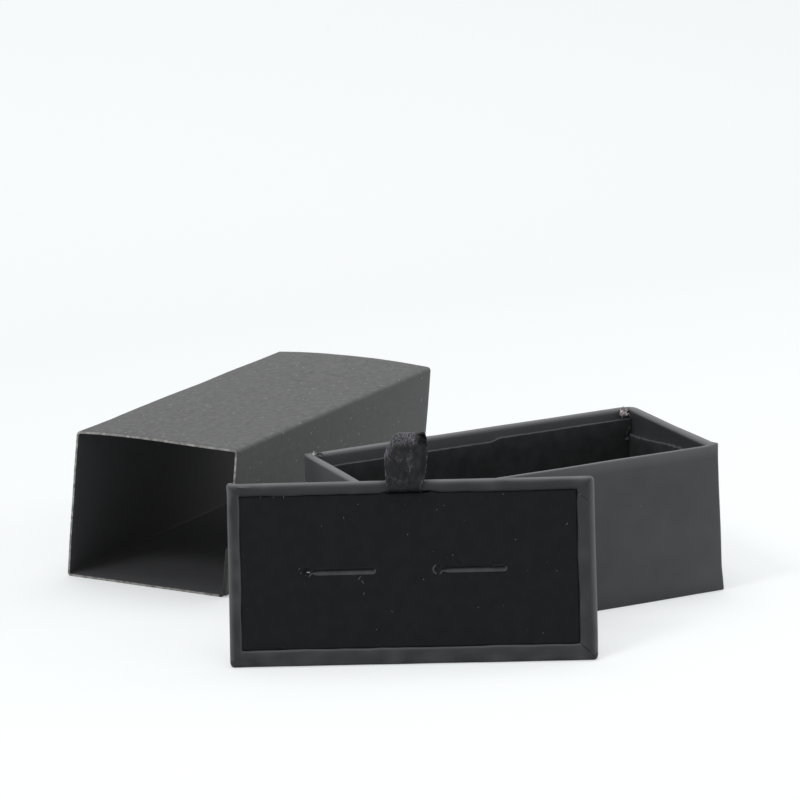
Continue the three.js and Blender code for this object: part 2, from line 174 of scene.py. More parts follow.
room = bpy.data.worlds.new("white_room")
scene.world = room
room.use_nodes = True
tree = room.node_tree
tree.nodes.clear()
ray = add_node(tree, "LightPath")
seen_or_shiny = add_node(tree, "Math", {"operation": "MAXIMUM"}, {
    0: ray.outputs["Is Camera Ray"], 1: ray.outputs["Is Glossy Ray"]})
lit = add_node(tree, "Background", {"Color": linear(ROOM_COLOUR), "Strength": ROOM_LIGHT})
white = add_node(tree, "Background", {"Color": linear(ROOM_COLOUR), "Strength": 1.0})
mixed = add_node(tree, "MixShader", links={
    0: seen_or_shiny.outputs[0], 1: lit.outputs[0], 2: white.outputs[0]})
add_node(tree, "OutputWorld", links={"Surface": mixed.outputs[0]})

for lamp_name, lamp in LAMPS.items():
    lamp_data = bpy.data.lights.new(lamp_name, "AREA")
    lamp_data.size = lamp["size"]
    lamp_data.energy = lamp["power"]
    lamp_object = bpy.data.objects.new(lamp_name, lamp_data)
    lamp_object.location = lamp["place"]
    lamp_object.rotation_euler = (-Vector(lamp["place"])).to_track_quat("-Z", "Y").to_euler()
    scene.collection.objects.link(lamp_object)


# Sleeve: one die-cut sheet of black uncoated card, scored and folded into a tube, with its flap glued
# inside the near long wall. It leans out of square, its top bows up, and its cut edges are pale.
SLEEVE_TURN = math.radians(34.9)
SLEEVE_RACK = math.radians(-8.4)
SLEEVE_LENGTH = 92.0
SLEEVE_WIDTH = 48.2
SLEEVE_HEIGHT = 38.8
CARD_THICKNESS = 0.6
CARD_FOLD = 0.7
FLAP_WIDTH = 13.0
FLAP_GLUE = 0.05
FREE_EDGE_GAP = 0.25
CROWN_FRONT = 0.45
CROWN_BACK = 0.9
CROWN_SHIFT = 0.88
WALL_BOW = 0.22
PANEL_STEP = 2.0
PANEL_CUTS = (-28.0, 24.0)
PANEL_WAVES = ({"span": 16.0, "height": 0.12, "seed": 3.0}, {"span": 3.0, "height": 0.03, "seed": 9.0})
CUT_EDGE_RADIUS = 0.09
CARD_SMOOTH_TO = math.radians(40)
CARD_TOP_COLOURS = ("#5c5c5d", "#757574")
CARD_INSIDE_SHADE_COLOURS = ("#4c4c4e", "#515153")
CARD_EDGE_COLOURS = ("#6b6966", "#dad8d4")
FLAP_EDGE_DARK_COLOURS = ("#3a3a3a", "#4c4b4a")
MOTTLE_SPAN = 1.786
MOTTLE_SQUEEZE = 1.2
MOTTLE_LIMITS = (0.32, 0.68)
MOTTLE_ON_WALLS = 0.3
BETWEEN_COLOURS = 0.5
FIBRE_COLOUR = "#a6a6a3"
FIBRE_SPACING = 3.03
FIBRE_LIMITS = (0.14, 0.07)
FIBRE_STRENGTH = 0.55
CARD_TOOTH = 0.3125
CARD_TOOTH_HEIGHT = 0.06
CARD_TOOTH_STRENGTH = 0.35
WELD = 0.01
SHARP_EDGE = math.radians(50)

mount_places = {mount["name"]: Vector(mount["pos_m"]) for mount in frame["record"]["mounts"]}
to_metres = Matrix.Scale(MM, 4)


def make_piece(name, bm, place, paints, foot=0.0):
    """Puts a bmesh made in millimetres in its place, no lower than its foot, and gives it its paints."""
    bmesh.ops.remove_doubles(bm, verts=bm.verts, dist=WELD)
    bmesh.ops.dissolve_degenerate(bm, edges=bm.edges, dist=WELD)
    bmesh.ops.transform(bm, matrix=place @ to_metres, verts=bm.verts)
    for vert in bm.verts:
        vert.co.z = max(vert.co.z, foot * MM)
    mesh = bpy.data.meshes.new(name)
    bm.to_mesh(mesh)
    bm.free()
    for paint in paints:
        mesh.materials.append(paint)
    piece = bpy.data.objects.new(name, mesh)
    scene.collection.objects.link(piece)
    return piece


def thicken(piece, thickness, offset=-1):
    """Gives a sheet its thickness, on its inner side unless an offset of 0 puts it on both."""
    sheet = piece.modifiers.new("thickness", "SOLIDIFY")
    sheet.thickness = thickness * MM
    sheet.offset = offset
    return sheet


def bake_modifiers(piece, smooth_to):
    """Makes the modifiers' result the piece's own mesh, smooth but for edges sharper than an angle."""
    evaluated = piece.evaluated_get(bpy.context.evaluated_depsgraph_get())
    mesh = bpy.data.meshes.new_from_object(evaluated)
    piece.modifiers.clear()
    piece.data = mesh
    mesh.shade_smooth()
    mesh.set_sharp_from_angle(angle=smooth_to)


def cut_across(bm, axis, places):
    """Cuts every face at planes square to an axis, so that the panels can bend."""
    normal = Vector([float(i == axis) for i in range(3)])
    for place in places:
        geom = bm.verts[:] + bm.edges[:] + bm.faces[:]
        bmesh.ops.bisect_plane(bm, geom=geom, plane_co=normal * place, plane_no=normal)


def points_of(grown):
    """The points among what an extrusion has made."""
    return [made for made in grown if isinstance(made, bmesh.types.BMVert)]


def steps(low, high, step):
    """Evenly spaced places between two ends, without the ends."""
    count = max(round((high - low) / step), 1)
    return [low + (high - low) * i / count for i in range(1, count)]


def round_off(bm, edges, radius, segments):
    """Rounds edges over a radius."""
    bmesh.ops.bevel(bm, geom=edges, offset=radius, segments=segments, profile=0.5,
                    affect="EDGES", material=-1)


def face_outwards(bm):
    """Turns the faces of an open shell outwards, so that its highest face looks up."""
    bmesh.ops.recalc_face_normals(bm, faces=bm.faces)
    highest = max(bm.faces, key=lambda face: face.calc_center_median().z)
    if highest.normal.z < 0:
        bmesh.ops.reverse_faces(bm, faces=bm.faces)


def uneven(bm, waves):
    """Moves each point along its normal by soft noise, wave after wave, so that a panel isn't dead flat."""
    for wave in waves:
        bm.normal_update()
        seed = Vector((wave["seed"], 0, 0))
        moves = [v.normal * wave["height"] * noise.noise(v.co / wave["span"] + seed) for v in bm.verts]
        for vert, move in zip(bm.verts, moves):
            vert.co += move


# Black uncoated card, dyed through: dull, with a cloudy mottle of pressed fibres that shows less on the upright
# walls, and a few pale fibres that lie loose on its outside. Inside the tube it has a darker copy of the card,
# which is painted shade. Its sheared edges are pale, except the flap's, which is darker.
def card_paint(name, colours, wall_share, speckled=False):
    """Card of two colours in a mottle, which has only a share of its strength on upright faces."""
    paint = empty_paint(name)
    tree = paint.node_tree
    at = add_node(tree, "TexCoord")
    streaks = add_node(tree, "Mapping", {
        "Rotation": (0, 0, SLEEVE_TURN), "Scale": (1.0, MOTTLE_SQUEEZE, MOTTLE_SQUEEZE)},
        {"Vector": at.outputs["Object"]})
    mottle = add_node(tree, "TexNoise", {"Scale": 1 / (MOTTLE_SPAN * MM), "Detail": 6.0, "Roughness": 0.7},
                      {"Vector": streaks.outputs[0]})
    contrast = add_node(tree, "MapRange", {"From Min": MOTTLE_LIMITS[0], "From Max": MOTTLE_LIMITS[1]},
                        {"Value": mottle.outputs[0]})
    facing = add_node(tree, "SeparateXYZ", links={"Vector": add_node(tree, "NewGeometry").outputs["Normal"]})
    open_share = add_node(tree, "MapRange", {"To Min": wall_share}, {"Value": facing.outputs["Z"]})
    # A Mix node has its two numbers at sockets 2 and 3, and its two colours at 6 and 7.
    mottled = add_node(tree, "Mix", {2: BETWEEN_COLOURS}, {0: open_share.outputs[0], 3: contrast.outputs[0]})
    shade = add_node(tree, "Mix", {"data_type": "RGBA", 6: linear(colours[0]), 7: linear(colours[1])},
                     {0: mottled.outputs[0]})
    colour = shade.outputs[2]
    if speckled:
        fibres = add_node(tree, "TexVoronoi", {"Scale": 1 / (FIBRE_SPACING * MM), "Randomness": 1.0},
                          {"Vector": streaks.outputs[0]})
        rare = add_node(tree, "MapRange", {
            "From Min": FIBRE_LIMITS[0], "From Max": FIBRE_LIMITS[1], "To Max": FIBRE_STRENGTH},
            {"Value": fibres.outputs["Distance"]})
        speck = add_node(tree, "Mix", {"data_type": "RGBA", 7: linear(FIBRE_COLOUR)},
                         {0: rare.outputs[0], 6: colour})
        colour = speck.outputs[2]
    tooth = add_node(tree, "TexNoise", {"Scale": 1 / (CARD_TOOTH * MM), "Detail": 3.0},
                     {"Vector": at.outputs["Object"]})
    rise = add_node(tree, "Bump", {"Strength": CARD_TOOTH_STRENGTH, "Distance": CARD_TOOTH_HEIGHT * MM},
                    {"Height": tooth.outputs[0]})
    surface = add_node(tree, "BsdfPrincipled", {"Roughness": 0.85, "Specular IOR Level": 0.35},
                       {"Base Color": colour, "Normal": rise.outputs[0]})
    add_node(tree, "OutputMaterial", links={"Surface": surface.outputs[0]})
    return paint


black_card = card_paint("black_uncoated_card", CARD_TOP_COLOURS, MOTTLE_ON_WALLS, speckled=True)
# Painted shade: the inside of the tube gets this darker copy of the card.
card_inside_painted_shade = card_paint("black_card_inside_painted_shade", CARD_INSIDE_SHADE_COLOURS, 1.0)
card_edge = card_paint("card_cut_edge", CARD_EDGE_COLOURS, 1.0)
flap_edge_dark = card_paint("card_flap_edge_darker", FLAP_EDGE_DARK_COLOURS, 1.0)
sleeve_paints = [black_card, card_inside_painted_shade, card_edge, flap_edge_dark]

card_middle = CARD_THICKNESS / 2
wall_across = SLEEVE_WIDTH / 2 - card_middle
flap_across = wall_across - CARD_THICKNESS - FLAP_GLUE
top_rise = SLEEVE_HEIGHT - CARD_THICKNESS


def leaning(across, rise):
    """A point of the sheet's middle at the sleeve's front end, leaning with the walls."""
    return Vector((
        -SLEEVE_LENGTH / 2,
        across + rise * math.sin(SLEEVE_RACK),
        card_middle + rise * math.cos(SLEEVE_RACK),
    ))


top_height = leaning(0, top_rise).z
top_across = leaning(0, top_rise).y
bm = bmesh.new()
folds = [
    leaning(-flap_across, FLAP_WIDTH - card_middle),
    leaning(-flap_across, 0),
    leaning(wall_across, 0),
    leaning(wall_across, top_rise),
    leaning(-wall_across, top_rise),
    leaning(-wall_across, FREE_EDGE_GAP),
]
row = [bm.verts.new(place) for place in folds]
line = [bm.edges.new(pair) for pair in zip(row, row[1:])]
grown = bmesh.ops.extrude_edge_only(bm, edges=line)["geom"]
bmesh.ops.translate(bm, vec=(SLEEVE_LENGTH, 0, 0), verts=points_of(grown))
scored = [e for e in bm.edges if len(e.link_faces) == 2]
round_off(bm, scored, CARD_FOLD, segments=5)
# No cut runs along the far upper fold, where it would leave slivers.
panel_cuts = steps(*PANEL_CUTS, PANEL_STEP)
cut_across(bm, 1, [place for place in panel_cuts if abs(place - top_across - wall_across) > CARD_FOLD])
cut_across(bm, 2, steps(0, SLEEVE_HEIGHT, PANEL_STEP))
cut_across(bm, 0, steps(-SLEEVE_LENGTH / 2, SLEEVE_LENGTH / 2, PANEL_STEP))
for vert in bm.verts:
    length_share = vert.co.x / SLEEVE_LENGTH + 0.5
    height_share = vert.co.z / SLEEVE_HEIGHT * 2 - 1
    across_share = max(min((vert.co.y - top_across) / wall_across, 1), -1)
    near_top = max(min((vert.co.z - top_height + CARD_FOLD) / CARD_FOLD, 1), 0)
    crown = CROWN_FRONT + (CROWN_BACK - CROWN_FRONT) * length_share
    bow = (1 - across_share ** 2) * (1 + CROWN_SHIFT * across_share * (1 - length_share))
    vert.co.z += near_top * crown * bow
    wall_bow = WALL_BOW * (1 - height_share ** 2) * (1 - near_top) * abs(across_share)
    vert.co.y += math.copysign(wall_bow, vert.co.y)
face_outwards(bm)
uneven(bm, PANEL_WAVES)
sleeve_place = Matrix.Translation(mount_places["sleeve_base"]) @ Matrix.Rotation(SLEEVE_TURN, 4, "Z")
sleeve = make_piece("sleeve", bm, sleeve_place, sleeve_paints, card_middle)
sheet = thicken(sleeve, CARD_THICKNESS, offset=0)
sheet.material_offset = sleeve_paints.index(card_inside_painted_shade)
sheet.material_offset_rim = sleeve_paints.index(card_edge)
soft = sleeve.modifiers.new("cut", "BEVEL")
soft.width = CUT_EDGE_RADIUS * MM
soft.segments = 2
soft.angle_limit = SHARP_EDGE
bake_modifiers(sleeve, CARD_SMOOTH_TO)
# The flap's cut edge, inside the tube, gets a darker paint than the other cut edges.
for face in sleeve.data.polygons:
    place = (sleeve_place.inverted() @ face.center) / MM
    at_flap = place.z < FLAP_WIDTH and place.y < -flap_across + 2 * CARD_THICKNESS
    if at_flap and face.material_index == sleeve_paints.index(card_edge):
        face.material_index = sleeve_paints.index(flap_edge_dark)
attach(sleeve, "sleeve")
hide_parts("sleeve_card")


# Drawer carcase: a tray of greyboard, scored and folded up, with gummed kraft tape round each corner.
# The wrap and the liners hide both. The rim is sanded down a little, so that the paper turns softly.
GREYBOARD_COLOURS = ("#807c76", "#979389")
GREYBOARD_GRAIN = {"span": 1.4, "tooth": 0.3, "height": 0.05}
KRAFT_COLOURS = ("#a08f70", "#bbaa89")
KRAFT_GRAIN = {"span": 1.4, "tooth": 0.3, "height": 0.03}
PATCH_LIMITS = (0.35, 0.65)
TOOTH_STRENGTH = 0.4
BOARD_SANDED = 0.5
FLAT_WITHIN = math.radians(2)


def plain_paint(name, colours, grain, settings, rubbed_or_lit=None, flecks=None):
    """A surface of two colours in soft patches of a span, with a fine tooth of a height, in millimetres.
    The mesh's own attribute may lighten it to a third colour, which stands for wear and painted highlight,
    and it may carry flecks of a size and spacing."""
    paint = empty_paint(name)
    tree = paint.node_tree
    at = add_node(tree, "TexCoord").outputs["Object"]
    cloud = add_node(tree, "TexNoise", {"Scale": 1 / (grain["span"] * MM), "Detail": 4.0}, {"Vector": at})
    share = add_node(tree, "MapRange", {"From Min": PATCH_LIMITS[0], "From Max": PATCH_LIMITS[1]},
                     {"Value": cloud.outputs[0]})
    shade = add_node(tree, "Mix", {"data_type": "RGBA", 6: linear(colours[0]), 7: linear(colours[1])},
                     {0: share.outputs[0]})
    if rubbed_or_lit:
        rub_and_highlight = add_node(tree, "Attribute", {"attribute_name": "rub_and_highlight"})
        shade = add_node(tree, "Mix", {"data_type": "RGBA", 7: linear(rubbed_or_lit)},
                         {0: rub_and_highlight.outputs["Fac"], 6: shade.outputs[2]})
    if flecks:
        cells = add_node(tree, "TexVoronoi", {"Scale": 1 / (flecks["spacing"] * MM)}, {"Vector": at})
        size_share = flecks["size"] / flecks["spacing"]
        fleck = add_node(tree, "MapRange", {"From Min": size_share, "From Max": size_share / 2},
                         {"Value": cells.outputs["Distance"]})
        shade = add_node(tree, "Mix", {"data_type": "RGBA", 7: linear(flecks["colour"])},
                         {0: fleck.outputs[0], 6: shade.outputs[2]})
    tooth = add_node(tree, "TexNoise", {"Scale": 1 / (grain["tooth"] * MM), "Detail": 3.0}, {"Vector": at})
    rise = add_node(tree, "Bump", {"Strength": TOOTH_STRENGTH, "Distance": grain["height"] * MM},
                    {"Height": tooth.outputs[0]})
    surface = add_node(tree, "BsdfPrincipled", settings,
                       {"Base Color": shade.outputs[2], "Normal": rise.outputs[0]})
    add_node(tree, "OutputMaterial", links={"Surface": surface.outputs[0]})
    return paint


# Greyboard, pressed from waste paper: a dull warm grey, clouded with pulp. Kraft tape is a smoother
# yellowish brown, with the faint shine of calendered paper.
greyboard = plain_paint("greyboard", GREYBOARD_COLOURS, GREYBOARD_GRAIN, {"Roughness": 0.95})
kraft_tape = plain_paint("gummed_kraft_tape", KRAFT_COLOURS, KRAFT_GRAIN, {"Roughness": 0.7})
corner_stays = [name for name in frame["nodes"] if name.startswith("corner_stay")]
for names, paint in ((["insert_base"], greyboard), (corner_stays, kraft_tape)):
    for name in names:
        frame["nodes"][name].material_slots[0].material = paint


def board_of(node, place):
    """A CAD node's solid as one closed bmesh, in millimetres and in its place's own directions."""
    bm = bmesh.new()
    bm.from_mesh(frame["nodes"][node].data)
    bmesh.ops.transform(bm, matrix=(place @ to_metres).inverted(), verts=bm.verts)
    bmesh.ops.remove_doubles(bm, verts=bm.verts, dist=WELD)
    bmesh.ops.dissolve_limit(bm, angle_limit=FLAT_WITHIN, verts=bm.verts, edges=bm.edges)
    return bm


drawer_place = Matrix.Translation(mount_places["drawer_base"])
bm = board_of("drawer_board", drawer_place)
board_top = max(vert.co.z for vert in bm.verts)
for vert in bm.verts:
    if vert.co.z > board_top - WELD:
        vert.co.z -= BOARD_SANDED
carcase = make_piece("carcase_board", bm, drawer_place, [greyboard])
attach(carcase, "drawer")
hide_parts("drawer_board")


# Drawer wrap: one sheet of charcoal paper with a soft-touch film, glued over the carcase, over the rim
# and down inside. Its mitres gather at the rim's corners, where the paper is torn and lifts a little.
WALL_RIM = 1.55
WRAP_THICKNESS = 0.15
TURN_IN = 12.0
CORNER_RADIUS = 0.8
RIM_RADIUS = 0.4
RIM_INNER_RADIUS = 1.1
RIM_PUFF = {-1: 1.4, 1: 0.4}
RIM_PUFF_DEPTH = 3.0
RIM_PUFF_FULL_FROM = 0.5
RIM_PUFF_FADE = (2.0, 4.0)
EDGE_SWELL = 0.35
EDGE_SWELL_RUN = 4.0
FOOT_SPREAD = 0.5
WRAP_STEP = 3.0
WRAP_WAVES = ({"span": 15.0, "height": 0.09, "seed": 4.0}, {"span": 4.0, "height": 0.02, "seed": 6.0})
PAPER_SMOOTH_TO = math.radians(60)
MITRE_WIDTH = 0.14
MITRE_DEPTH = 0.1
FACES_UP_FROM = 0.1
ON_LINE_SHARE = 1 / 9
SOFT_TOUCH_COLOURS = ("#444647", "#4f5153")
SOFT_TOUCH_GRAIN = {"span": 16.0, "tooth": 0.22, "height": 0.012}
RUBBED_AND_LIT_COLOUR = "#68696c"
RIM_RUB_AND_HIGHLIGHT_DEPTH = 1.3
TURN_IN_RUB_AND_LIGHT = 0.5
END_TURN_IN_SHARE = 0.3
FOOT_KNOCK = {"reach": 7.0, "move": Vector((0.35, -0.1, 0))}
CORNER_LIFT_INSET = 0.4
CORNER_LIFTS = (
    ((1, -1), 1.6, Vector((0.1, -0.1, 0.38))),
    ((1, 1), 1.5, Vector((-0.1, 0.0, -0.25))),
    ((-1, 1), 1.4, Vector((0.0, 0.05, 0.3))),
)


def block(size, middle):
    """A bmesh box of a size round a middle."""
    bm = bmesh.new()
    bmesh.ops.create_cube(bm, size=1)
    bmesh.ops.scale(bm, vec=size, verts=bm.verts)
    bmesh.ops.translate(bm, vec=middle, verts=bm.verts)
    return bm


def eased(value, low, high):
    """0 below a low value, 1 above a high one, and smooth between."""
    share = min(max((value - low) / (high - low), 0), 1)
    return share * share * (3 - 2 * share)


def nudge(bm, place, reach, move):
    """Moves the points near a place, the nearest most."""
    for vert in bm.verts:
        vert.co += move * (1 - eased((vert.co - place).length, 0, reach))


def crease(bm, start, end, width, depth):
    """Presses a thin line into the upward faces between two points, where two edges of paper meet."""
    run = (end - start).normalized()
    side = run.cross(Vector((0, 0, 1)))
    middle = (start + end) / 2
    reach = (end - start).length / 2
    for offset in (-width, width, 0):
        faces = [f for f in bm.faces if f.normal.z > FACES_UP_FROM
                 and (f.calc_center_median() - middle).length < 2 * reach]
        edges = dict.fromkeys(edge for face in faces for edge in face.edges)
        verts = dict.fromkeys(vert for face in faces for vert in face.verts)
        geom = [*faces, *edges, *verts]
        bmesh.ops.bisect_plane(bm, geom=geom, plane_co=middle + side * offset, plane_no=side)
    for vert in bm.verts:
        away = vert.co - middle
        on_line = abs(away.dot(side)) < width * ON_LINE_SHARE and abs(away.dot(run)) < reach
        if on_line and abs(away.z) < RIM_RADIUS:
            vert.co.z -= depth


def sharp_edges_at(bm, height):
    """The sharp edges that lie wholly at a height."""
    bm.normal_update()
    return [e for e in bm.edges if len(e.link_faces) == 2 and e.calc_face_angle() > SHARP_EDGE
            and all(abs(v.co.z - height) < WELD for v in e.verts)]


def edges_as_tall_as(bm, height):
    """The edges that stand a full height upright."""
    return [e for e in bm.edges if abs(e.verts[0].co.z - e.verts[1].co.z) > height - WELD]


# Charcoal paper under a soft-touch film: even and almost black, with a broad soft sheen and no texture
# to see. A lighter grey is painted along the rim, except the left end's, and inside it, less at the ends:
# partly the grey of rubbed film, partly painted highlight on the rim and painted light on the inner walls.
soft_touch = plain_paint("soft_touch_paper", SOFT_TOUCH_COLOURS, SOFT_TOUCH_GRAIN,
                         {"Roughness": 0.42, "Specular IOR Level": 0.5}, rubbed_or_lit=RUBBED_AND_LIT_COLOUR)
drawer_low, drawer_high = (Vector(corner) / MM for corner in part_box("drawer_wrap"))
drawer_size = drawer_high - drawer_low
half_length, half_width, drawer_height = drawer_size.x / 2, drawer_size.y / 2, drawer_size.z

bm = block(drawer_size, (0, 0, drawer_height / 2))
top = max(bm.faces, key=lambda face: face.calc_center_median().z)
bmesh.ops.inset_region(bm, faces=[top], thickness=WALL_RIM, use_even_offset=True)
bmesh.ops.delete(bm, geom=[top], context="FACES_ONLY")
grown = bmesh.ops.extrude_edge_only(bm, edges=[e for e in bm.edges if e.is_boundary])["geom"]
bmesh.ops.translate(bm, vec=(0, 0, -TURN_IN), verts=points_of(grown))
face_outwards(bm)
round_off(bm, edges_as_tall_as(bm, drawer_height), CORNER_RADIUS, segments=5)
rim = sharp_edges_at(bm, drawer_height)
inner_rim = [e for e in rim if all(abs(v.co.x) < half_length - WALL_RIM + WELD for v in e.verts)
             and all(abs(v.co.y) < half_width - WALL_RIM + WELD for v in e.verts)]
outer_rim = [e for e in rim if e not in inner_rim]
round_off(bm, inner_rim, RIM_INNER_RADIUS, segments=5)
round_off(bm, outer_rim, RIM_RADIUS, segments=4)
round_off(bm, sharp_edges_at(bm, 0), RIM_RADIUS, segments=3)
cut_across(bm, 0, steps(-half_length, half_length, WRAP_STEP))
cut_across(bm, 1, steps(-half_width, half_width, WRAP_STEP))
cut_across(bm, 2, steps(0, drawer_height, WRAP_STEP))
for end in (-1, 1):
    for side in (-1, 1):
        outer = Vector((end * half_length, side * half_width, drawer_height))
        inner = outer - Vector((end * WALL_RIM, side * WALL_RIM, 0))
        crease(bm, inner, outer, MITRE_WIDTH, MITRE_DEPTH)
lift_along, lift_across = half_length - CORNER_LIFT_INSET, half_width - CORNER_LIFT_INSET
for (end, side), reach, move in CORNER_LIFTS:
    nudge(bm, Vector((end * lift_along, side * lift_across, drawer_height)), reach, move)
nudge(bm, Vector((half_length, -half_width, 0)), **FOOT_KNOCK)
rub_and_highlight = bm.verts.layers.float.new("rub_and_highlight")
for vert in bm.verts:
    inside = abs(vert.co.x) < half_length - WALL_RIM / 2 and abs(vert.co.y) < half_width - WALL_RIM / 2
    end = -1 if vert.co.x < 0 else 1
    from_rim = half_length - abs(vert.co.x)
    at_end = from_rim < 2 * WALL_RIM
    # Painted highlight and wear: the rim's top is painted lighter, not at the left end, and the inner walls are
    # painted lighter, less at the ends.
    rim_rub_and_highlight = eased(vert.co.z, drawer_height - RIM_RUB_AND_HIGHLIGHT_DEPTH, drawer_height) * (not (at_end and end < 0))
    turn_in_rub_and_light = TURN_IN_RUB_AND_LIGHT * (END_TURN_IN_SHARE if at_end else 1) * inside
    vert[rub_and_highlight] = max(rim_rub_and_highlight, turn_in_rub_and_light)
    puffed = eased(vert.co.z, drawer_height - RIM_PUFF_DEPTH, drawer_height - RIM_PUFF_FULL_FROM)
    puffed *= eased(from_rim, 0, WALL_RIM)
    vert.co.x -= end * RIM_PUFF[end] * puffed * (1 - eased(from_rim, *RIM_PUFF_FADE))
    spread = EDGE_SWELL + FOOT_SPREAD * (1 - vert.co.z / drawer_height)
    spread *= eased(vert.co.x, half_length - EDGE_SWELL_RUN, half_length)
    vert.co.x += spread * eased(-vert.co.y, 0, half_width)
uneven(bm, WRAP_WAVES)
drawer_paper = make_piece("drawer_paper", bm, drawer_place, [soft_touch])
thicken(drawer_paper, WRAP_THICKNESS)
bake_modifiers(drawer_paper, PAPER_SMOOTH_TO)
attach(drawer_paper, "drawer")
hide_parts("drawer_wrap")


# Torn scraps of the wrap, left standing where the paper gathers at the two back corners of the rim,
# and a tear that curls down inside the right one. They are crumpled flakes of the sheet's own paper.
SCRAP_STEPS = 10
SCRAP_THICKNESS = 0.08
CREASES_PER_MM = 1.7
TORN_GRAIN = {"span": 0.8, "tooth": 0.2, "height": 0.03}
TORN_PINK_COLOURS = ("#b4abad", "#d8d0d2")
TORN_GREY_COLOURS = ("#b9b9b6", "#d2d2cf")
TORN_DARK_COLOURS = ("#4a4c4d", "#626364")
SCRAPS = {
    "torn_scrap_right": {"place": (41.8, 21.1, 36.15), "size": (3.3, 2.1), "point": 0.45, "crumple": 0.72,
                         "turn": (80, 8, 12), "seed": 21, "colours": TORN_PINK_COLOURS},
    "torn_scrap_left": {"place": (-42.5, 22.2, 37.05), "size": (1.1, 0.7), "point": 0.2, "crumple": 0.4,
                        "turn": (50, -12, 30), "seed": 22, "colours": TORN_GREY_COLOURS},
    "torn_curl_left": {"place": (-41.2, 21.5, 36.75), "size": (2.1, 0.8), "point": 0.3, "crumple": 0.44,
                       "turn": (60, 6, 10), "seed": 24, "colours": TORN_DARK_COLOURS},
    "torn_tear_right": {"place": (42.0, 20.0, 30.6), "size": (0.7, 3.6), "point": -0.3, "crumple": 0.5,
                        "turn": (88, 20, 8), "seed": 23, "colours": TORN_DARK_COLOURS},
}

# Torn paper is dull and fibrous. It shows the sheet's undyed back, off-white with a pinkish or a grey
# cast, or its dark coloured face where the tear curls over.
for name, scrap in SCRAPS.items():
    bm = bmesh.new()
    bmesh.ops.create_grid(bm, x_segments=SCRAP_STEPS, y_segments=SCRAP_STEPS, size=0.5)
    seed = Vector((scrap["seed"], 0, 0))
    for vert in bm.verts:
        narrowing = 1 - scrap["point"] * (vert.co.y + 0.5)
        vert.co = Vector((vert.co.x * scrap["size"][0] * narrowing, vert.co.y * scrap["size"][1], 0))
        vert.co += noise.noise_vector(vert.co * CREASES_PER_MM + seed) * scrap["crumple"]
    for axis, angle in zip("XYZ", scrap["turn"]):
        bmesh.ops.rotate(bm, matrix=Matrix.Rotation(math.radians(angle), 3, axis), verts=bm.verts)
    bmesh.ops.translate(bm, vec=scrap["place"], verts=bm.verts)
    paint_name = name.replace("torn", "torn_paper")
    torn_paper = plain_paint(paint_name, scrap["colours"], TORN_GRAIN, {"Roughness": 0.9})
    piece = make_piece(name, bm, drawer_place, [torn_paper])
    thicken(piece, SCRAP_THICKNESS)
    bake_modifiers(piece, PAPER_SMOOTH_TO)
    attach(piece, "drawer")


# Liners: four strips of board covered in dull black paper, glued inside the walls a little below the
# rim, so that the insert lies on the two long ones. Their faces that look up are a lighter grey, and the
# right one is cut askew, so that it sinks towards the back.
LINING_COLOURS = ("#363738", "#404142")
LINING_GRAIN = {"span": 3.0, "tooth": 0.4, "height": 0.05}
LINER_UPPER_FACE_COLOURS = ("#3d3e40", "#4b4c4f")
LINER_EDGE_GRAIN = {"span": 1.5, "tooth": 0.3, "height": 0.05}
UPPER_FACES_FROM = 0.3
LINER_STEP = 1.0
LINER_EDGE_RADIUS = 0.2
LINER_EDGE_DEPTH = 4.0
LINER_WAVES = ({"span": 9.0, "height": 0.08, "seed": 12.0},)
LINER_SMOOTH_TO = math.radians(50)
RAGGED_SPAN = 1.4
RAGGED_SEED = 40.0
LINER_RAGGED = 0.14
SEAM_STEP = (5.0, 6.2)
SEAM_STEP_DROP = 0.7
ASKEW_DROP = 2.6
ASKEW_FROM = -10.0
ASKEW_RAGGED = 0.45

# Black lining paper, uncoated: the dullest paper of the box. The liners' faces that look up take a
# lighter grey.
lining = plain_paint("black_lining_paper", LINING_COLOURS, LINING_GRAIN,
                     {"Roughness": 0.95, "Specular IOR Level": 0.2})
liner_upper_faces = plain_paint("lining_upper_faces", LINER_UPPER_FACE_COLOURS, LINER_EDGE_GRAIN, {"Roughness": 0.8})
frame["nodes"]["floor_lining"].material_slots[0].material = lining
for name in ("liner_front", "liner_back", "liner_left", "liner_right"):
    low, high = (Vector(corner) / MM - mount_places["drawer_base"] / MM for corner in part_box(name))
    bm = block(high - low, (low + high) / 2)
    round_off(bm, sharp_edges_at(bm, high.z), LINER_EDGE_RADIUS, segments=2)
    long_axis = 0 if high.x - low.x > high.y - low.y else 1
    cut_across(bm, long_axis, steps(low[long_axis], high[long_axis], LINER_STEP))
    cut_across(bm, 2, steps(low.z, high.z, LINER_EDGE_DEPTH))
    for face in bm.faces:
        face.material_index = int(face.normal.z > UPPER_FACES_FROM)
    ragged = ASKEW_RAGGED if name == "liner_right" else LINER_RAGGED
    for vert in bm.verts:
        near_top = eased(vert.co.z, high.z - LINER_EDGE_DEPTH, high.z)
        if name == "liner_back":
            vert.co.z -= SEAM_STEP_DROP * near_top * (1 - eased(vert.co.x, *SEAM_STEP))
        if name == "liner_right":
            vert.co.z -= ASKEW_DROP * near_top * eased(vert.co.y, ASKEW_FROM, high.y)
        at = Vector((vert.co[long_axis] / RAGGED_SPAN, RAGGED_SEED, 0))
        vert.co.z += ragged * near_top * noise.noise(at)
    uneven(bm, LINER_WAVES)
    strip = make_piece(name.replace("liner", "lining_strip"), bm, drawer_place, [lining, liner_upper_faces])
    bake_modifiers(strip, LINER_SMOOTH_TO)
    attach(strip, "drawer")
    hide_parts(name)


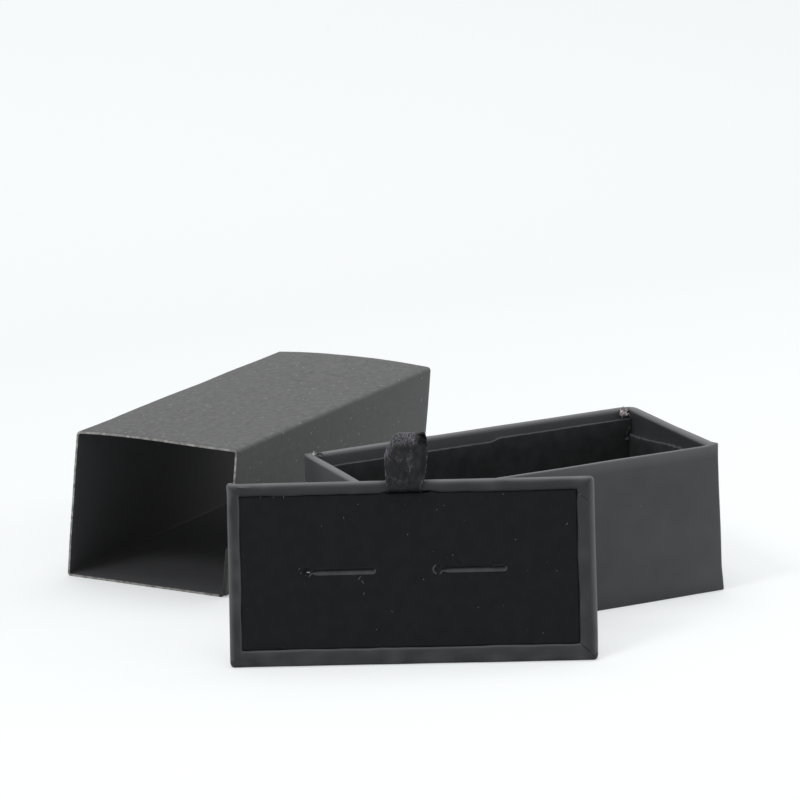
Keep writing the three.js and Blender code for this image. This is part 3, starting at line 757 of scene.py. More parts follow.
# Insert frame and wrap: a frame of greyboard with its outer edge sanded round, and the same soft-touch
# paper, painted a little darker as shade, glued over it and down into the recess, where it is turned in
# under the pad.
# The corners are folded over each other, and the ribbon pushes the recess's upper edge out.
BORDER_LEFT = 3.0
BORDER_RIGHT = 4.2
BORDER_TOP = 3.1
BORDER_BOTTOM = 3.5
FRAME_RADIUS = 0.85
FRAME_SETBACK = 0.6
INSERT_CORNER_RADIUS = 1.1
INSERT_EDGE_RADIUS = 0.5
INSERT_FRONT_RADIUS = 0.95
RECESS_EDGE_RADIUS = 0.6
IN_FRAME_MARGIN = 1.0
EDGE_MARGIN = 0.1
BORDER_SWELL = 0.16
BORDER_STEP = 0.5
BORDER_CUTS = 8
EDGE_WAVER = {"height": 0.22, "span": 2.5, "seed": 43.0, "fade": (0.3, 1.2)}
FOOT_SWELL = 0.45
FOOT_SWELL_RUN = 2.0
INSERT_WAVES = ({"span": 13.0, "height": 0.08, "seed": 15.0}, {"span": 3.0, "height": 0.02, "seed": 17.0})
INSERT_SHADED_COLOURS = ("#28292b", "#323335")
INSERT_RUBBED_AND_LIT_COLOUR = "#66686a"
EDGE_RUB_AND_HIGHLIGHT_REACH = 1.5
FOOT_RUB_AND_HIGHLIGHT = 0.35
SCUFF = {"strength": 0.45, "span": 3.5, "seed": 52.0}
LIP_RUB_AND_HIGHLIGHT = 0.6
FOOT_LIP_RUB_AND_HIGHLIGHT = 0.42
LIP_RUB_AND_HIGHLIGHT_REACH = 0.8
RIBBON_WIDTH = 9.5
RIBBON_PUSH = 0.4
RIBBON_PUSH_RUN = 2.5
RIBBON_PUSH_FADE = (0.2, 1.5)
RIBBON_SIDE = -0.7
RIBBON_SHADE_FROM = -0.5
RIBBON_SHADE_TO = 2.2
HEAD_CORNER_KNOCK = {"reach": 3.0, "move": Vector((-0.15, 0.45, 0))}
CORNER_FOLDS = (
    {"start": (38.9, 3.5), "end": (41.6, 1.2), "width": 0.16, "depth": 0.14},
    {"start": (-40.1, 39.4), "end": (-41.8, 41.0), "width": 0.16, "depth": 0.04},
    {"start": (-40.3, 41.7), "end": (-37.4, 41.3), "width": 0.45, "depth": -0.38},
    {"start": (-40.8, 3.4), "end": (-37.9, 2.8), "width": 0.35, "depth": -0.13},
    {"start": (-38.2, 1.5), "end": (-35.4, 0.8), "width": 0.35, "depth": -0.13},
    {"start": (41.1, 41.3), "end": (40.6, 40.0), "width": 0.3, "depth": -0.12},
    {"start": (41.9, 41.0), "end": (41.3, 39.7), "width": 0.2, "depth": 0.1},
)
CORNER_LAP = {"start": (38.6, 39.4), "end": (41.6, 36.9), "depth": 0.3, "step": 0.5, "reach": 3.2,
              "fade": 0.7}
RECESS_FLOOR = 1.2
RECESS_TURN_IN = 4.0
POST_SLOT_LENGTH = 18.8
POST_SLOT_WIDTH = 3.5
POST_SLOT_POINTS = 24
SLIT_SPACING = 30.7
SLIT_SHIFT = -0.85


def reach_of(node, direction):
    """How far a CAD node reaches along a direction, lowest and highest, in millimetres."""
    places = [vert.co.dot(direction) / MM for vert in frame["nodes"][node].data.vertices]
    return min(places), max(places)


joints = {joint["name"]: joint for joint in frame["joints"]}
insert_along = Vector(joints["ribbon_fold"]["axis"])
insert_out = Vector(joints["insert_lift"]["axis"])
insert_up = insert_out.cross(insert_along)
insert_axes = (insert_along, insert_up, insert_out)
along_reach, up_reach, out_reach = (reach_of("insert_wrap", axis) for axis in insert_axes)
insert_origin = Vector((sum(along_reach) / 2, up_reach[0], out_reach[0]))
insert_length = along_reach[1] - along_reach[0]
insert_width = up_reach[1] - up_reach[0]
insert_thickness = out_reach[1] - out_reach[0]
turned = Matrix(insert_axes).transposed()
insert_place = Matrix.Translation(turned @ insert_origin * MM) @ turned.to_4x4()
recess_left = -insert_length / 2 + BORDER_LEFT
recess_right = insert_length / 2 - BORDER_RIGHT
recess_foot = BORDER_BOTTOM
recess_head = insert_width - BORDER_TOP
pad_middle = Vector(((recess_left + recess_right) / 2, (recess_foot + recess_head) / 2, 0))
slit_places = [pad_middle + Vector((SLIT_SHIFT + side * SLIT_SPACING / 2, 0, 0)) for side in (-1, 1)]


def ribbon_push(x):
    """How far the wedged ribbon pushes the recess's upper edge at a place along it."""
    beside = abs(x - pad_middle.x) - RIBBON_WIDTH / 2
    return RIBBON_PUSH * (1 - eased(beside, 0, RIBBON_PUSH_RUN))


def in_recess(place, margin):
    """Whether a place lies over the recess or less than a margin outside it."""
    return (recess_left - margin < place.x < recess_right + margin
            and recess_foot - margin < place.y < recess_head + margin)


bm = board_of("insert_frame", insert_place)
frame_edges = sharp_edges_at(bm, max(vert.co.z for vert in bm.verts))
outer_edges = [e for e in frame_edges if not all(in_recess(v.co, IN_FRAME_MARGIN) for v in e.verts)]
for vert in bm.verts:
    if in_recess(vert.co, IN_FRAME_MARGIN):
        vert.co.x += math.copysign(FRAME_SETBACK, vert.co.x - pad_middle.x)
        vert.co.y += math.copysign(FRAME_SETBACK, vert.co.y - pad_middle.y)
round_off(bm, outer_edges, FRAME_RADIUS, segments=4)
frame_board = make_piece("frame_board", bm, insert_place, [greyboard])
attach(frame_board, "insert")
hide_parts("insert_frame")

# The same soft-touch paper as a darker copy, which is painted shade. Its border is scuffed in soft blotches,
# and greyest along the outer edges, less at the foot, and along the left and lower lips of the recess: partly
# rubbed film, partly painted highlight. Beside the ribbon's foot the grey is left off, as painted shadow.
insert_touch_painted_shade = plain_paint("soft_touch_paper_shaded_copy", INSERT_SHADED_COLOURS, SOFT_TOUCH_GRAIN,
                           {"Roughness": 0.46, "Specular IOR Level": 0.36}, rubbed_or_lit=INSERT_RUBBED_AND_LIT_COLOUR)
bm = block((insert_length, insert_width, insert_thickness), (0, insert_width / 2, insert_thickness / 2))
top = max(bm.faces, key=lambda face: face.calc_center_median().z)
bmesh.ops.inset_region(bm, faces=[top], thickness=BORDER_LEFT, use_even_offset=True)
for vert in top.verts:
    vert.co.x = recess_right if vert.co.x > 0 else recess_left
    vert.co.y = recess_head if vert.co.y > insert_width / 2 else recess_foot
bmesh.ops.delete(bm, geom=[top], context="FACES_ONLY")
grown = bmesh.ops.extrude_edge_only(bm, edges=[e for e in bm.edges if e.is_boundary])["geom"]
for vert in points_of(grown):
    vert.co.z = RECESS_FLOOR
grown = bmesh.ops.extrude_edge_only(bm, edges=[e for e in bm.edges if e.is_boundary])["geom"]
for vert in points_of(grown):
    vert.co.x -= math.copysign(RECESS_TURN_IN, vert.co.x - pad_middle.x)
    vert.co.y -= math.copysign(RECESS_TURN_IN, vert.co.y - pad_middle.y)
face_outwards(bm)
round_off(bm, edges_as_tall_as(bm, insert_thickness), INSERT_CORNER_RADIUS, segments=5)
rim = sharp_edges_at(bm, insert_thickness)
inner_rim = [e for e in rim if all(in_recess(v.co, EDGE_MARGIN) for v in e.verts)]
outer_rim = [e for e in rim if e not in inner_rim]
round_off(bm, inner_rim, RECESS_EDGE_RADIUS, segments=3)
round_off(bm, outer_rim, INSERT_FRONT_RADIUS, segments=6)
round_off(bm, sharp_edges_at(bm, 0), INSERT_EDGE_RADIUS, segments=3)
bm.normal_update()
back = min(bm.faces, key=lambda face: face.calc_center_median().z)
rims = list(back.edges)
bmesh.ops.delete(bm, geom=[back], context="FACES_ONLY")
for slot_place in slit_places:
    ring = bmesh.ops.create_circle(bm, segments=POST_SLOT_POINTS, radius=POST_SLOT_WIDTH / 2)["verts"]
    bmesh.ops.rotate(bm, matrix=Matrix.Rotation(math.pi / POST_SLOT_POINTS, 3, "Z"), verts=ring)
    for vert in ring:
        vert.co.x += math.copysign((POST_SLOT_LENGTH - POST_SLOT_WIDTH) / 2, vert.co.x)
        vert.co += slot_place
    rims += dict.fromkeys(edge for vert in ring for edge in vert.link_edges)
bmesh.ops.triangle_fill(bm, edges=rims, use_beauty=True, normal=(0, 0, -1))
face_outwards(bm)
rub_and_highlight = bm.verts.layers.float.new("rub_and_highlight")
for i in range(1, BORDER_CUTS + 1):
    cut_across(bm, 0, [i * BORDER_STEP - insert_length / 2, insert_length / 2 - i * BORDER_STEP])
    cut_across(bm, 1, [i * BORDER_STEP, insert_width - i * BORDER_STEP])
cut_across(bm, 0, steps(-insert_length / 2, insert_length / 2, WRAP_STEP))
cut_across(bm, 1, steps(0, insert_width, WRAP_STEP))
for vert in bm.verts:
    inner_gap = max(recess_left - vert.co.x, vert.co.x - recess_right, recess_foot - vert.co.y,
                    vert.co.y - recess_head)
    outer_gap = min(vert.co.x + insert_length / 2, insert_length / 2 - vert.co.x, vert.co.y,
                    insert_width - vert.co.y)
    outer_gap = max(outer_gap, 0)
    if vert.co.z > insert_thickness / 2 and inner_gap > 0 and outer_gap > 0:
        vert.co.z += BORDER_SWELL * 4 * inner_gap * outer_gap / (inner_gap + outer_gap) ** 2
    # Painted highlight and wear: the outer edges are painted lighter, less along the foot.
    vert[rub_and_highlight] = (1 - eased(outer_gap, 0, EDGE_RUB_AND_HIGHLIGHT_REACH)) * (FOOT_RUB_AND_HIGHLIGHT if vert.co.y < EDGE_RUB_AND_HIGHLIGHT_REACH else 1)
    scuffed = SCUFF["strength"] * noise.noise(vert.co / SCUFF["span"] + Vector((0, 0, SCUFF["seed"])))
    vert[rub_and_highlight] = min(max(vert[rub_and_highlight] + scuffed, 0), 1)
    # Painted highlight and wear: the left and lower lips of the recess are painted lighter.
    lip_rub_and_highlight = FOOT_LIP_RUB_AND_HIGHLIGHT * (vert.co.y < recess_foot + EDGE_MARGIN)
    if vert.co.x < recess_left + EDGE_MARGIN:
        lip_rub_and_highlight = LIP_RUB_AND_HIGHLIGHT
    vert[rub_and_highlight] = max(vert[rub_and_highlight], lip_rub_and_highlight * (1 - eased(abs(inner_gap), 0, LIP_RUB_AND_HIGHLIGHT_REACH)))
    # Painted shadow: beside the ribbon's foot, above the recess, the lighter grey is taken off.
    from_ribbon = abs(vert.co.x - pad_middle.x - RIBBON_SIDE) - RIBBON_WIDTH / 2
    beside = 1 - eased(from_ribbon, RIBBON_SHADE_FROM, RIBBON_SHADE_TO)
    above = vert.co.y - recess_head
    vert[rub_and_highlight] *= 1 - beside * (above > 0)
    if vert.co.z > RECESS_FLOOR + EDGE_MARGIN:
        vert.co.y += ribbon_push(vert.co.x) * (1 - eased(abs(above), *RIBBON_PUSH_FADE))
    near_recess = 1 - eased(abs(inner_gap), *EDGE_WAVER["fade"])
    at = Vector((vert.co.x / EDGE_WAVER["span"], vert.co.y / EDGE_WAVER["span"], EDGE_WAVER["seed"]))
    waver = noise.noise_vector(at) * EDGE_WAVER["height"] * near_recess
    vert.co += Vector((waver.x, waver.y, 0))
    near_foot = 1 - eased(vert.co.y, 0, FOOT_SWELL_RUN)
    vert.co.y -= FOOT_SWELL * near_foot * eased(vert.co.z, 0, insert_thickness / 2)
for fold in CORNER_FOLDS:
    start, end = (Vector((*fold[key], insert_thickness)) for key in ("start", "end"))
    crease(bm, start, end, fold["width"], fold["depth"])
start, end = (Vector((*CORNER_LAP[key], insert_thickness)) for key in ("start", "end"))
crease(bm, start, end, MITRE_WIDTH / 2, 0)
run = (end - start).normalized()
side = run.cross(Vector((0, 0, 1)))
lap_length = (end - start).length
for vert in bm.verts:
    away = vert.co - start
    under = away.dot(side)
    on_border = vert.co.z > insert_thickness / 2 and vert.co.x > recess_right - EDGE_MARGIN
    if on_border and WELD < under < CORNER_LAP["reach"]:
        fade = 1 - eased(away.dot(run), lap_length * CORNER_LAP["fade"], lap_length)
        vert.co.z -= CORNER_LAP["depth"] * fade * (1 - eased(under, CORNER_LAP["step"], CORNER_LAP["reach"]))
nudge(bm, Vector((-insert_length / 2, insert_width, insert_thickness / 2)), **HEAD_CORNER_KNOCK)
uneven(bm, INSERT_WAVES)
insert_paper = make_piece("insert_paper", bm, insert_place, [insert_touch_painted_shade])
thicken(insert_paper, WRAP_THICKNESS)
bake_modifiers(insert_paper, PAPER_SMOOTH_TO)
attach(insert_paper, "insert")
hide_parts("insert_wrap")


# Foam: a thin sheet of black foam that fills the recess, die-cut with two slits that end in punched
# holes, and notched for the ribbon, whose glued ends press up into its underside.
SLIT_LENGTH = 15.5
HOLE_STEPS = 18
EDGE_STEPS = 16
END_STEPS = 8
PAD_STEP = 2.5
RIBBON_PLAY = 0.3
FOAM_SLIT = {"half": 0.1, "shift": 0.0, "depth": 0.0, "hole": 0.12, "hole_depth": 0.0}
FOAM_NOTCH = 1.15
TAIL_LENGTH = 11.1
TAIL_ROOM = 0.85
LIP_FROM = 0.6
LIP_TO = 2.6
LIP_NECK = 0.6
FOAM_COLOURS = ("#242425", "#303031")
FOAM_GRAIN = {"span": 0.9, "tooth": 0.3, "height": 0.1}


def keyhole(bm, middle, row, height):
    """One row of a slit's lips: a punched hole at its left end, then a lens that ends round, as edges."""
    left = -SLIT_LENGTH / 2
    right = SLIT_LENGTH / 2
    hole = row["hole"]
    neck_half = row["half"] * LIP_NECK
    neck = math.asin(min(neck_half / hole, 1))
    spread = 2 * (math.pi - neck)
    points = []
    for i in range(HOLE_STEPS + 1):
        turn = neck + spread * i / HOLE_STEPS
        points.append((left + hole * math.cos(turn), hole * math.sin(turn), row["hole_depth"]))
    start = left + hole * math.cos(neck)
    lower = []
    upper = []
    for i in range(1, EDGE_STEPS):
        x = start + (right - start) * i / EDGE_STEPS
        share = eased(x - left, LIP_FROM, LIP_TO)
        half = row["half"] * (LIP_NECK + (1 - LIP_NECK) * share)
        depth = row["hole_depth"] + (row["depth"] - row["hole_depth"]) * eased(x - left, hole, 2 * LIP_FROM)
        lower.append((x, row["shift"] * share - half, depth))
        upper.append((x, row["shift"] * share + half, depth))
    points += lower
    for i in range(END_STEPS + 1):
        turn = math.pi * (i / END_STEPS - 0.5)
        x = right + row["half"] * math.cos(turn)
        points.append((x, row["shift"] + row["half"] * math.sin(turn), row["depth"]))
    points += reversed(upper)
    verts = [bm.verts.new((middle.x + x, middle.y + y, height - depth)) for x, y, depth in points]
    return [bm.edges.new(pair) for pair in zip(verts, verts[1:] + verts[:1])]


def pad_face(bm, low, high, height, rows, notch):
    """A flat pad outline with the ribbon's notch and two keyhole slits, whose lips step down by rows."""
    notch_left = pad_middle.x - RIBBON_WIDTH / 2 - RIBBON_PLAY
    notch_right = pad_middle.x + RIBBON_WIDTH / 2 + RIBBON_PLAY
    notch_foot = recess_head - notch
    outline = [(low.x, low.y), (high.x, low.y), (high.x, high.y), (notch_right, high.y),
               (notch_right, notch_foot), (notch_left, notch_foot), (notch_left, high.y), (low.x, high.y)]
    verts = [bm.verts.new((x, y, height)) for x, y in outline]
    rims = [bm.edges.new(pair) for pair in zip(verts, verts[1:] + verts[:1])]
    for middle in slit_places:
        loops = [keyhole(bm, middle, row, height) for row in rows]
        rims += loops[0]
        for outer, inner in zip(loops, loops[1:]):
            bmesh.ops.bridge_loops(bm, edges=outer + inner)
    bmesh.ops.triangle_fill(bm, edges=rims, use_beauty=True, normal=(0, 0, 1))
    face_outwards(bm)
    cut_across(bm, 0, steps(low.x, high.x, PAD_STEP))
    cut_across(bm, 1, steps(low.y, high.y, PAD_STEP))


def local_reach(node):
    """A CAD node's lowest and highest corners in the insert's own directions, in millimetres."""
    spans = [reach_of(node, axis) for axis in insert_axes]
    low = Vector([span[0] for span in spans]) - insert_origin
    high = Vector([span[1] for span in spans]) - insert_origin
    return low, high


# Open-cell foam, skived to a sheet: dull black, with pores as a fine pitted tooth.
foam_paint = plain_paint("black_foam", FOAM_COLOURS, FOAM_GRAIN, {"Roughness": 1.0})
foam_low, foam_high = local_reach("foam_pad")
bm = bmesh.new()
pad_face(bm, foam_low, foam_high, foam_high.z, [FOAM_SLIT], FOAM_NOTCH)
under = points_of(bmesh.ops.extrude_face_region(bm, geom=bm.faces[:])["geom"])
bmesh.ops.translate(bm, vec=(0, 0, foam_low.z - foam_high.z), verts=under)
tail_reach = Vector((RIBBON_WIDTH / 2 + PAD_STEP, TAIL_LENGTH + PAD_STEP))
for vert in under:
    if abs(vert.co.x - pad_middle.x) < tail_reach.x and vert.co.y > recess_head - tail_reach.y:
        vert.co.z += TAIL_ROOM
bmesh.ops.recalc_face_normals(bm, faces=bm.faces)
foam = make_piece("foam_sheet", bm, insert_place, [foam_paint])
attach(foam, "insert")
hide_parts("foam_pad")


# Velvet: short-pile black velvet stretched over the foam and turned down at its edges, cut through at
# the slits. The lower lip of each rolls into it and takes a paler paint, partly the ground of the cloth and
# partly painted highlight; the upper one overhangs it, and the pile stands in a ring round the hole, whose
# left half at the right slit is painted paler as highlight.
VELVET_THICKNESS = 0.25
VELVET_EDGE_RADIUS = 0.3
VELVET_STRETCH = 0.22
VELVET_CROWN = 0.12
VELVET_NOTCH = 0.3
LIP_ROWS = (
    {"half": 0.74, "shift": -0.04, "depth": 0.0, "hole": 1.25, "hole_depth": 0.0},
    {"half": 0.63, "shift": 0.06, "depth": -0.06, "hole": 1.08, "hole_depth": -0.12},
    {"half": 0.48, "shift": 0.2, "depth": -0.02, "hole": 0.92, "hole_depth": -0.06},
    {"half": 0.32, "shift": 0.36, "depth": 0.14, "hole": 0.84, "hole_depth": 0.2},
    {"half": 0.18, "shift": 0.5, "depth": 0.42, "hole": 0.8, "hole_depth": 0.6},
    {"half": 0.1, "shift": 0.57, "depth": 0.95, "hole": 0.78, "hole_depth": 0.95},
)
LIP_REACH = 2.0
LIP_SPLIT = 0.44
HOLE_RING = 1.3
HOLE_RING_HIGHLIGHT_FROM = HOLE_RING / 4
HOLE_RING_TO = HOLE_RING / 3
PUSHED_RISE = 0.36
PUSHED_RUN = 2.0
VELVET_WAVES = ({"span": 8.0, "height": 0.08, "seed": 25.0}, {"span": 1.6, "height": 0.025, "seed": 27.0})
VELVET_SMOOTH_TO = math.radians(70)
VELVET_COLOURS = ("#262729", "#292a2c")
VELVET_GRAIN = {"span": 3.0, "tooth": 0.18, "height": 0.05}
VELVET_SHEEN = {"Sheen Weight": 0.25, "Sheen Roughness": 0.4, "Sheen Tint": linear("#6a6d72")}
VELVET_FLECKS = {"colour": "#4a4b4d", "spacing": 3.1, "size": 0.14}
CUT_AND_LIT_VELVET_COLOURS = ("#46474a", "#525356")
CUT_VELVET_GRAIN = {"span": 1.6, "tooth": 0.25, "height": 0.03}

# Black velvet swallows light: nearly flat black with a faint cool bloom of the pile where it is seen
# along the cloth, and small pale flecks of dust. Cut and rolled over, it shows its greyer woven ground,
# which is painted paler still as highlight.
velvet_paint = plain_paint("short_pile_velvet", VELVET_COLOURS, VELVET_GRAIN, {
    "Roughness": 1.0, "Specular IOR Level": 0.1, **VELVET_SHEEN}, flecks=VELVET_FLECKS)
cut_and_lit_velvet = plain_paint("cut_velvet_ground_and_painted_highlight", CUT_AND_LIT_VELVET_COLOURS, CUT_VELVET_GRAIN, {"Roughness": 0.9})
velvet_low, velvet_high = local_reach("velvet_cover")
velvet_low -= Vector((VELVET_STRETCH, VELVET_STRETCH, 0))
velvet_high += Vector((VELVET_STRETCH, VELVET_STRETCH, 0))
bm = bmesh.new()
pad_face(bm, velvet_low, velvet_high, velvet_high.z, LIP_ROWS, VELVET_NOTCH)
# Painted highlight: the lower lips and the left half of the right slit's ring take the paler paint.
for face in bm.faces:
    middle = face.calc_center_median()
    on_lip = abs(middle.y - pad_middle.y) < LIP_REACH and abs(middle.z - velvet_high.z) > WELD
    holes = [middle - place - Vector((-SLIT_LENGTH / 2, 0, middle.z)) for place in slit_places]
    on_ring = any(away.length < HOLE_RING and away.x < HOLE_RING_TO for away in holes)
    painted_highlight_ring = holes[1].length < HOLE_RING and holes[1].x < -HOLE_RING_HIGHLIGHT_FROM
    lower = not on_ring and middle.y < pad_middle.y + LIP_SPLIT
    face.material_index = int(on_lip and (lower or painted_highlight_ring))
outer = [e for e in bm.edges if e.is_boundary and all(v.co.z > velvet_high.z - WELD for v in e.verts)]
grown = bmesh.ops.extrude_edge_only(bm, edges=outer)["geom"]
for vert in points_of(grown):
    vert.co.z = velvet_low.z
face_outwards(bm)
round_off(bm, sharp_edges_at(bm, velvet_high.z), VELVET_EDGE_RADIUS, segments=4)
for vert in bm.verts:
    across = (vert.co.x - pad_middle.x) / (velvet_high.x - velvet_low.x) * 2
    along = (vert.co.y - pad_middle.y) / (velvet_high.y - velvet_low.y) * 2
    vert.co.z += VELVET_CROWN * (1 - across ** 4) * (1 - along ** 4)
    pushed = ribbon_push(vert.co.x) * eased(vert.co.y, velvet_high.y - PUSHED_RUN, velvet_high.y)
    vert.co += Vector((0, pushed, pushed * PUSHED_RISE / RIBBON_PUSH))
uneven(bm, VELVET_WAVES)
velvet = make_piece("velvet_sheet", bm, insert_place, [velvet_paint, cut_and_lit_velvet])
thicken(velvet, VELVET_THICKNESS)
bake_modifiers(velvet, VELVET_SMOOTH_TO)
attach(velvet, "insert")
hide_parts("velvet_cover")


# Lint: short fibres and dust that cling to the pile of the velvet, most of them round the left slit, and
# one speck on the drawer's front. Each row gives a speck's place along and up the surface, its length,
# and its turn in degrees.
LINT_THICKNESS = 0.13
LINT_COLOURS = ("#66676a", "#929395")
LINT_GRAIN = {"span": 1.0, "tooth": 0.2, "height": 0.02}
VELVET_LINT = (
    (-12.2, 37.1, 0.42, 20), (-0.7, 29.8, 0.6, 50), (6.2, 35.4, 0.36, 0), (7.9, 36.4, 0.3, 0),
    (9.7, 24.7, 0.45, 70), (21.9, 38.7, 0.5, 10), (13.1, 40.0, 0.5, 5), (-12.2, 19.9, 1.5, 48),
    (-11.5, 18.9, 1.2, 122), (-11.3, 16.2, 0.9, 62), (-4.8, 11.9, 0.7, 140), (15.4, 12.4, 0.4, 30),
    (-8.5, 7.7, 0.45, 0), (2.8, 19.2, 0.4, 80), (-20.9, 32.2, 0.35, 15), (-15.6, 34.0, 0.6, 95),
    (-26.3, 22.3, 0.45, 30), (-26.0, 21.3, 0.5, 70), (-25.0, 20.6, 0.6, 40), (-24.4, 21.5, 0.45, 110),
    (-35.1, 39.3, 0.6, 80), (-32.0, 39.2, 0.7, 60), (-29.6, 39.2, 0.8, 85), (30.4, 6.1, 0.35, 10),
    (24.5, 28.0, 0.3, 60), (33.9, 20.5, 0.5, 130), (36.6, 31.4, 0.8, 60),
)
DRAWER_LINT = ((23.8, 24.6, 0.45, 20),)


def lint(name, specks, place, turn, body):
    """Small slivers of fibre that lie on a surface of a body."""
    bm = bmesh.new()
    for x, y, length, angle in specks:
        sliver = bmesh.ops.create_icosphere(bm, subdivisions=1, radius=0.5)["verts"]
        bmesh.ops.scale(bm, vec=(length, LINT_THICKNESS, LINT_THICKNESS), verts=sliver)
        bmesh.ops.rotate(bm, matrix=Matrix.Rotation(math.radians(angle), 3, "Z"), verts=sliver)
        bmesh.ops.translate(bm, vec=(x, y, 0), verts=sliver)
    piece = make_piece(name, bm, place @ turn, [lint_paint])
    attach(piece, body)


# Lint is dull and grey, and shows against the velvet only because the pile is so dark.
lint_paint = plain_paint("lint", LINT_COLOURS, LINT_GRAIN, {"Roughness": 1.0})
on_velvet = Matrix.Translation((0, 0, (velvet_high.z + VELVET_CROWN) * MM))
on_drawer_front = Matrix.Translation((0, -half_width * MM, 0)) @ Matrix.Rotation(math.radians(90), 4, "X")
lint("velvet_lint", VELVET_LINT, insert_place, on_velvet, "insert")
lint("drawer_lint", DRAWER_LINT, drawer_place, on_drawer_front, "drawer")


# Ribbon: one length of woven black satin ribbon, folded double. Its ends are glued under the pad, rise
# at the pad's upper edge and stand out as a loop, gathered at its foot, crumpled, and lower at its left
# shoulder. The head of the loop leans back and catches the light.
RIBBON_THICKNESS = 0.25
RIBBON_ROWS = 150
RIBBON_COLUMNS = 26
RIBBON_SMOOTH_TO = math.radians(60)
FOOT_SHIFT = -0.7
HEAD_SHIFT = -0.05
FOOT_WIDTH_SHARE = 0.84
HEAD_WIDTH_SHARE = 1.04
GATHER = (0.5, 8.0)
SHOULDER_DROP = 5.0
SHOULDER_WIDTH = 3.1
SHOULDER_FROM = 7.0
RIGHT_DROP = 1.3
RIGHT_WIDTH = 0.9
RIGHT_FOLD = 1.0
RIGHT_FOLD_WIDTH = 2.9
RIGHT_FOLD_RISE = (1.0, 5.0)
CRUMPLES = (
    {"across": 1.3, "up": 3.8, "height": 0.46},
    {"across": 0.7, "up": 1.05, "height": 0.28},
)
CRUMPLE_RISE = (0.8, 3.0)
CRUMPLE_IN_PLANE = 0.5
RIBBON_COLOURS = ("#08080a", "#262629")
TURNED_PAINTED_SHADE_COLOUR = "#0e0e10"
TURNED_FROM = 2.1
TURNED_SLANT = 0.9
TURNED_FADE = 0.8
TURNED_DEPTH = 3.6
TURNED_FULL_DEPTH = 2.0
TURNED_SIDE = {"from": TURNED_FROM + 0.5, "to": TURNED_FROM + 2.0, "rise": (4.0, 8.0), "share": 0.6}
PAINTED_GLINT_COLOUR = "#85828f"
CROWN_GLINT = {"depth": 3.4, "fade": (1.9, 2.6)}
SIDE_GLINT = {"depth": 8.0, "fade": (2.6, 4.2)}
SELVEDGE_GLINT = {"strength": 0.75, "width": 0.5}
PATCH_GLINT = {"strength": 0.42, "across": 1.7, "up": 2.4, "seed": 5.0, "limit": 0.4, "fade": (1.2, 2.8)}
CLOUDS_PER_MM = (1.1, 0.45)
CLOUD_LIMITS = (0.42, 0.66)
CLOUD_HEIGHT = 0.3
CLOUD_STRENGTH = 0.8
THREAD_SPAN = 0.3
THREAD_HEIGHT = 0.04
THREAD_STRENGTH = 0.4
THREAD_WANDER = 1.2
WAVE_BAND = 0.31
SPARKS_PER_THREAD = 0.8
SPARK_LIMITS = (0.46, 0.66)
SATIN_ROUGHNESS = 0.42
RIBBON_LINE = [
    (-10.2, -2.37), (-5.0, -2.37), (-0.5, -2.37), (0.55, -2.1), (0.95, -1.3), (1.1, -0.6), (1.6, -0.4),
    (4.0, -0.8), (8.5, -1.1), (12.5, -1.35), (14.2, -1.15), (14.55, -0.65), (14.0, 0.1), (12.6, 0.9),
    (10.8, 1.35), (8.0, 1.3), (4.0, 0.9), (1.7, 0.4), (1.05, -0.35), (0.8, -1.2), (0.2, -1.95), (-5.0, -2.02),
    (-10.2, -2.02),
]


def through(knots, share):
    """The point at a share of the way along a smooth curve through knots."""
    place = share * (len(knots) - 1)
    i = min(int(place), len(knots) - 2)
    t = place - i
    before, here, after, beyond = (Vector(knots[min(max(k, 0), len(knots) - 1)]) for k in range(i - 1, i + 3))
    return 0.5 * (2 * here + (after - before) * t + (2 * before - 5 * here + 4 * after - beyond) * t ** 2
                  + (3 * here - before - 3 * after + beyond) * t ** 3)


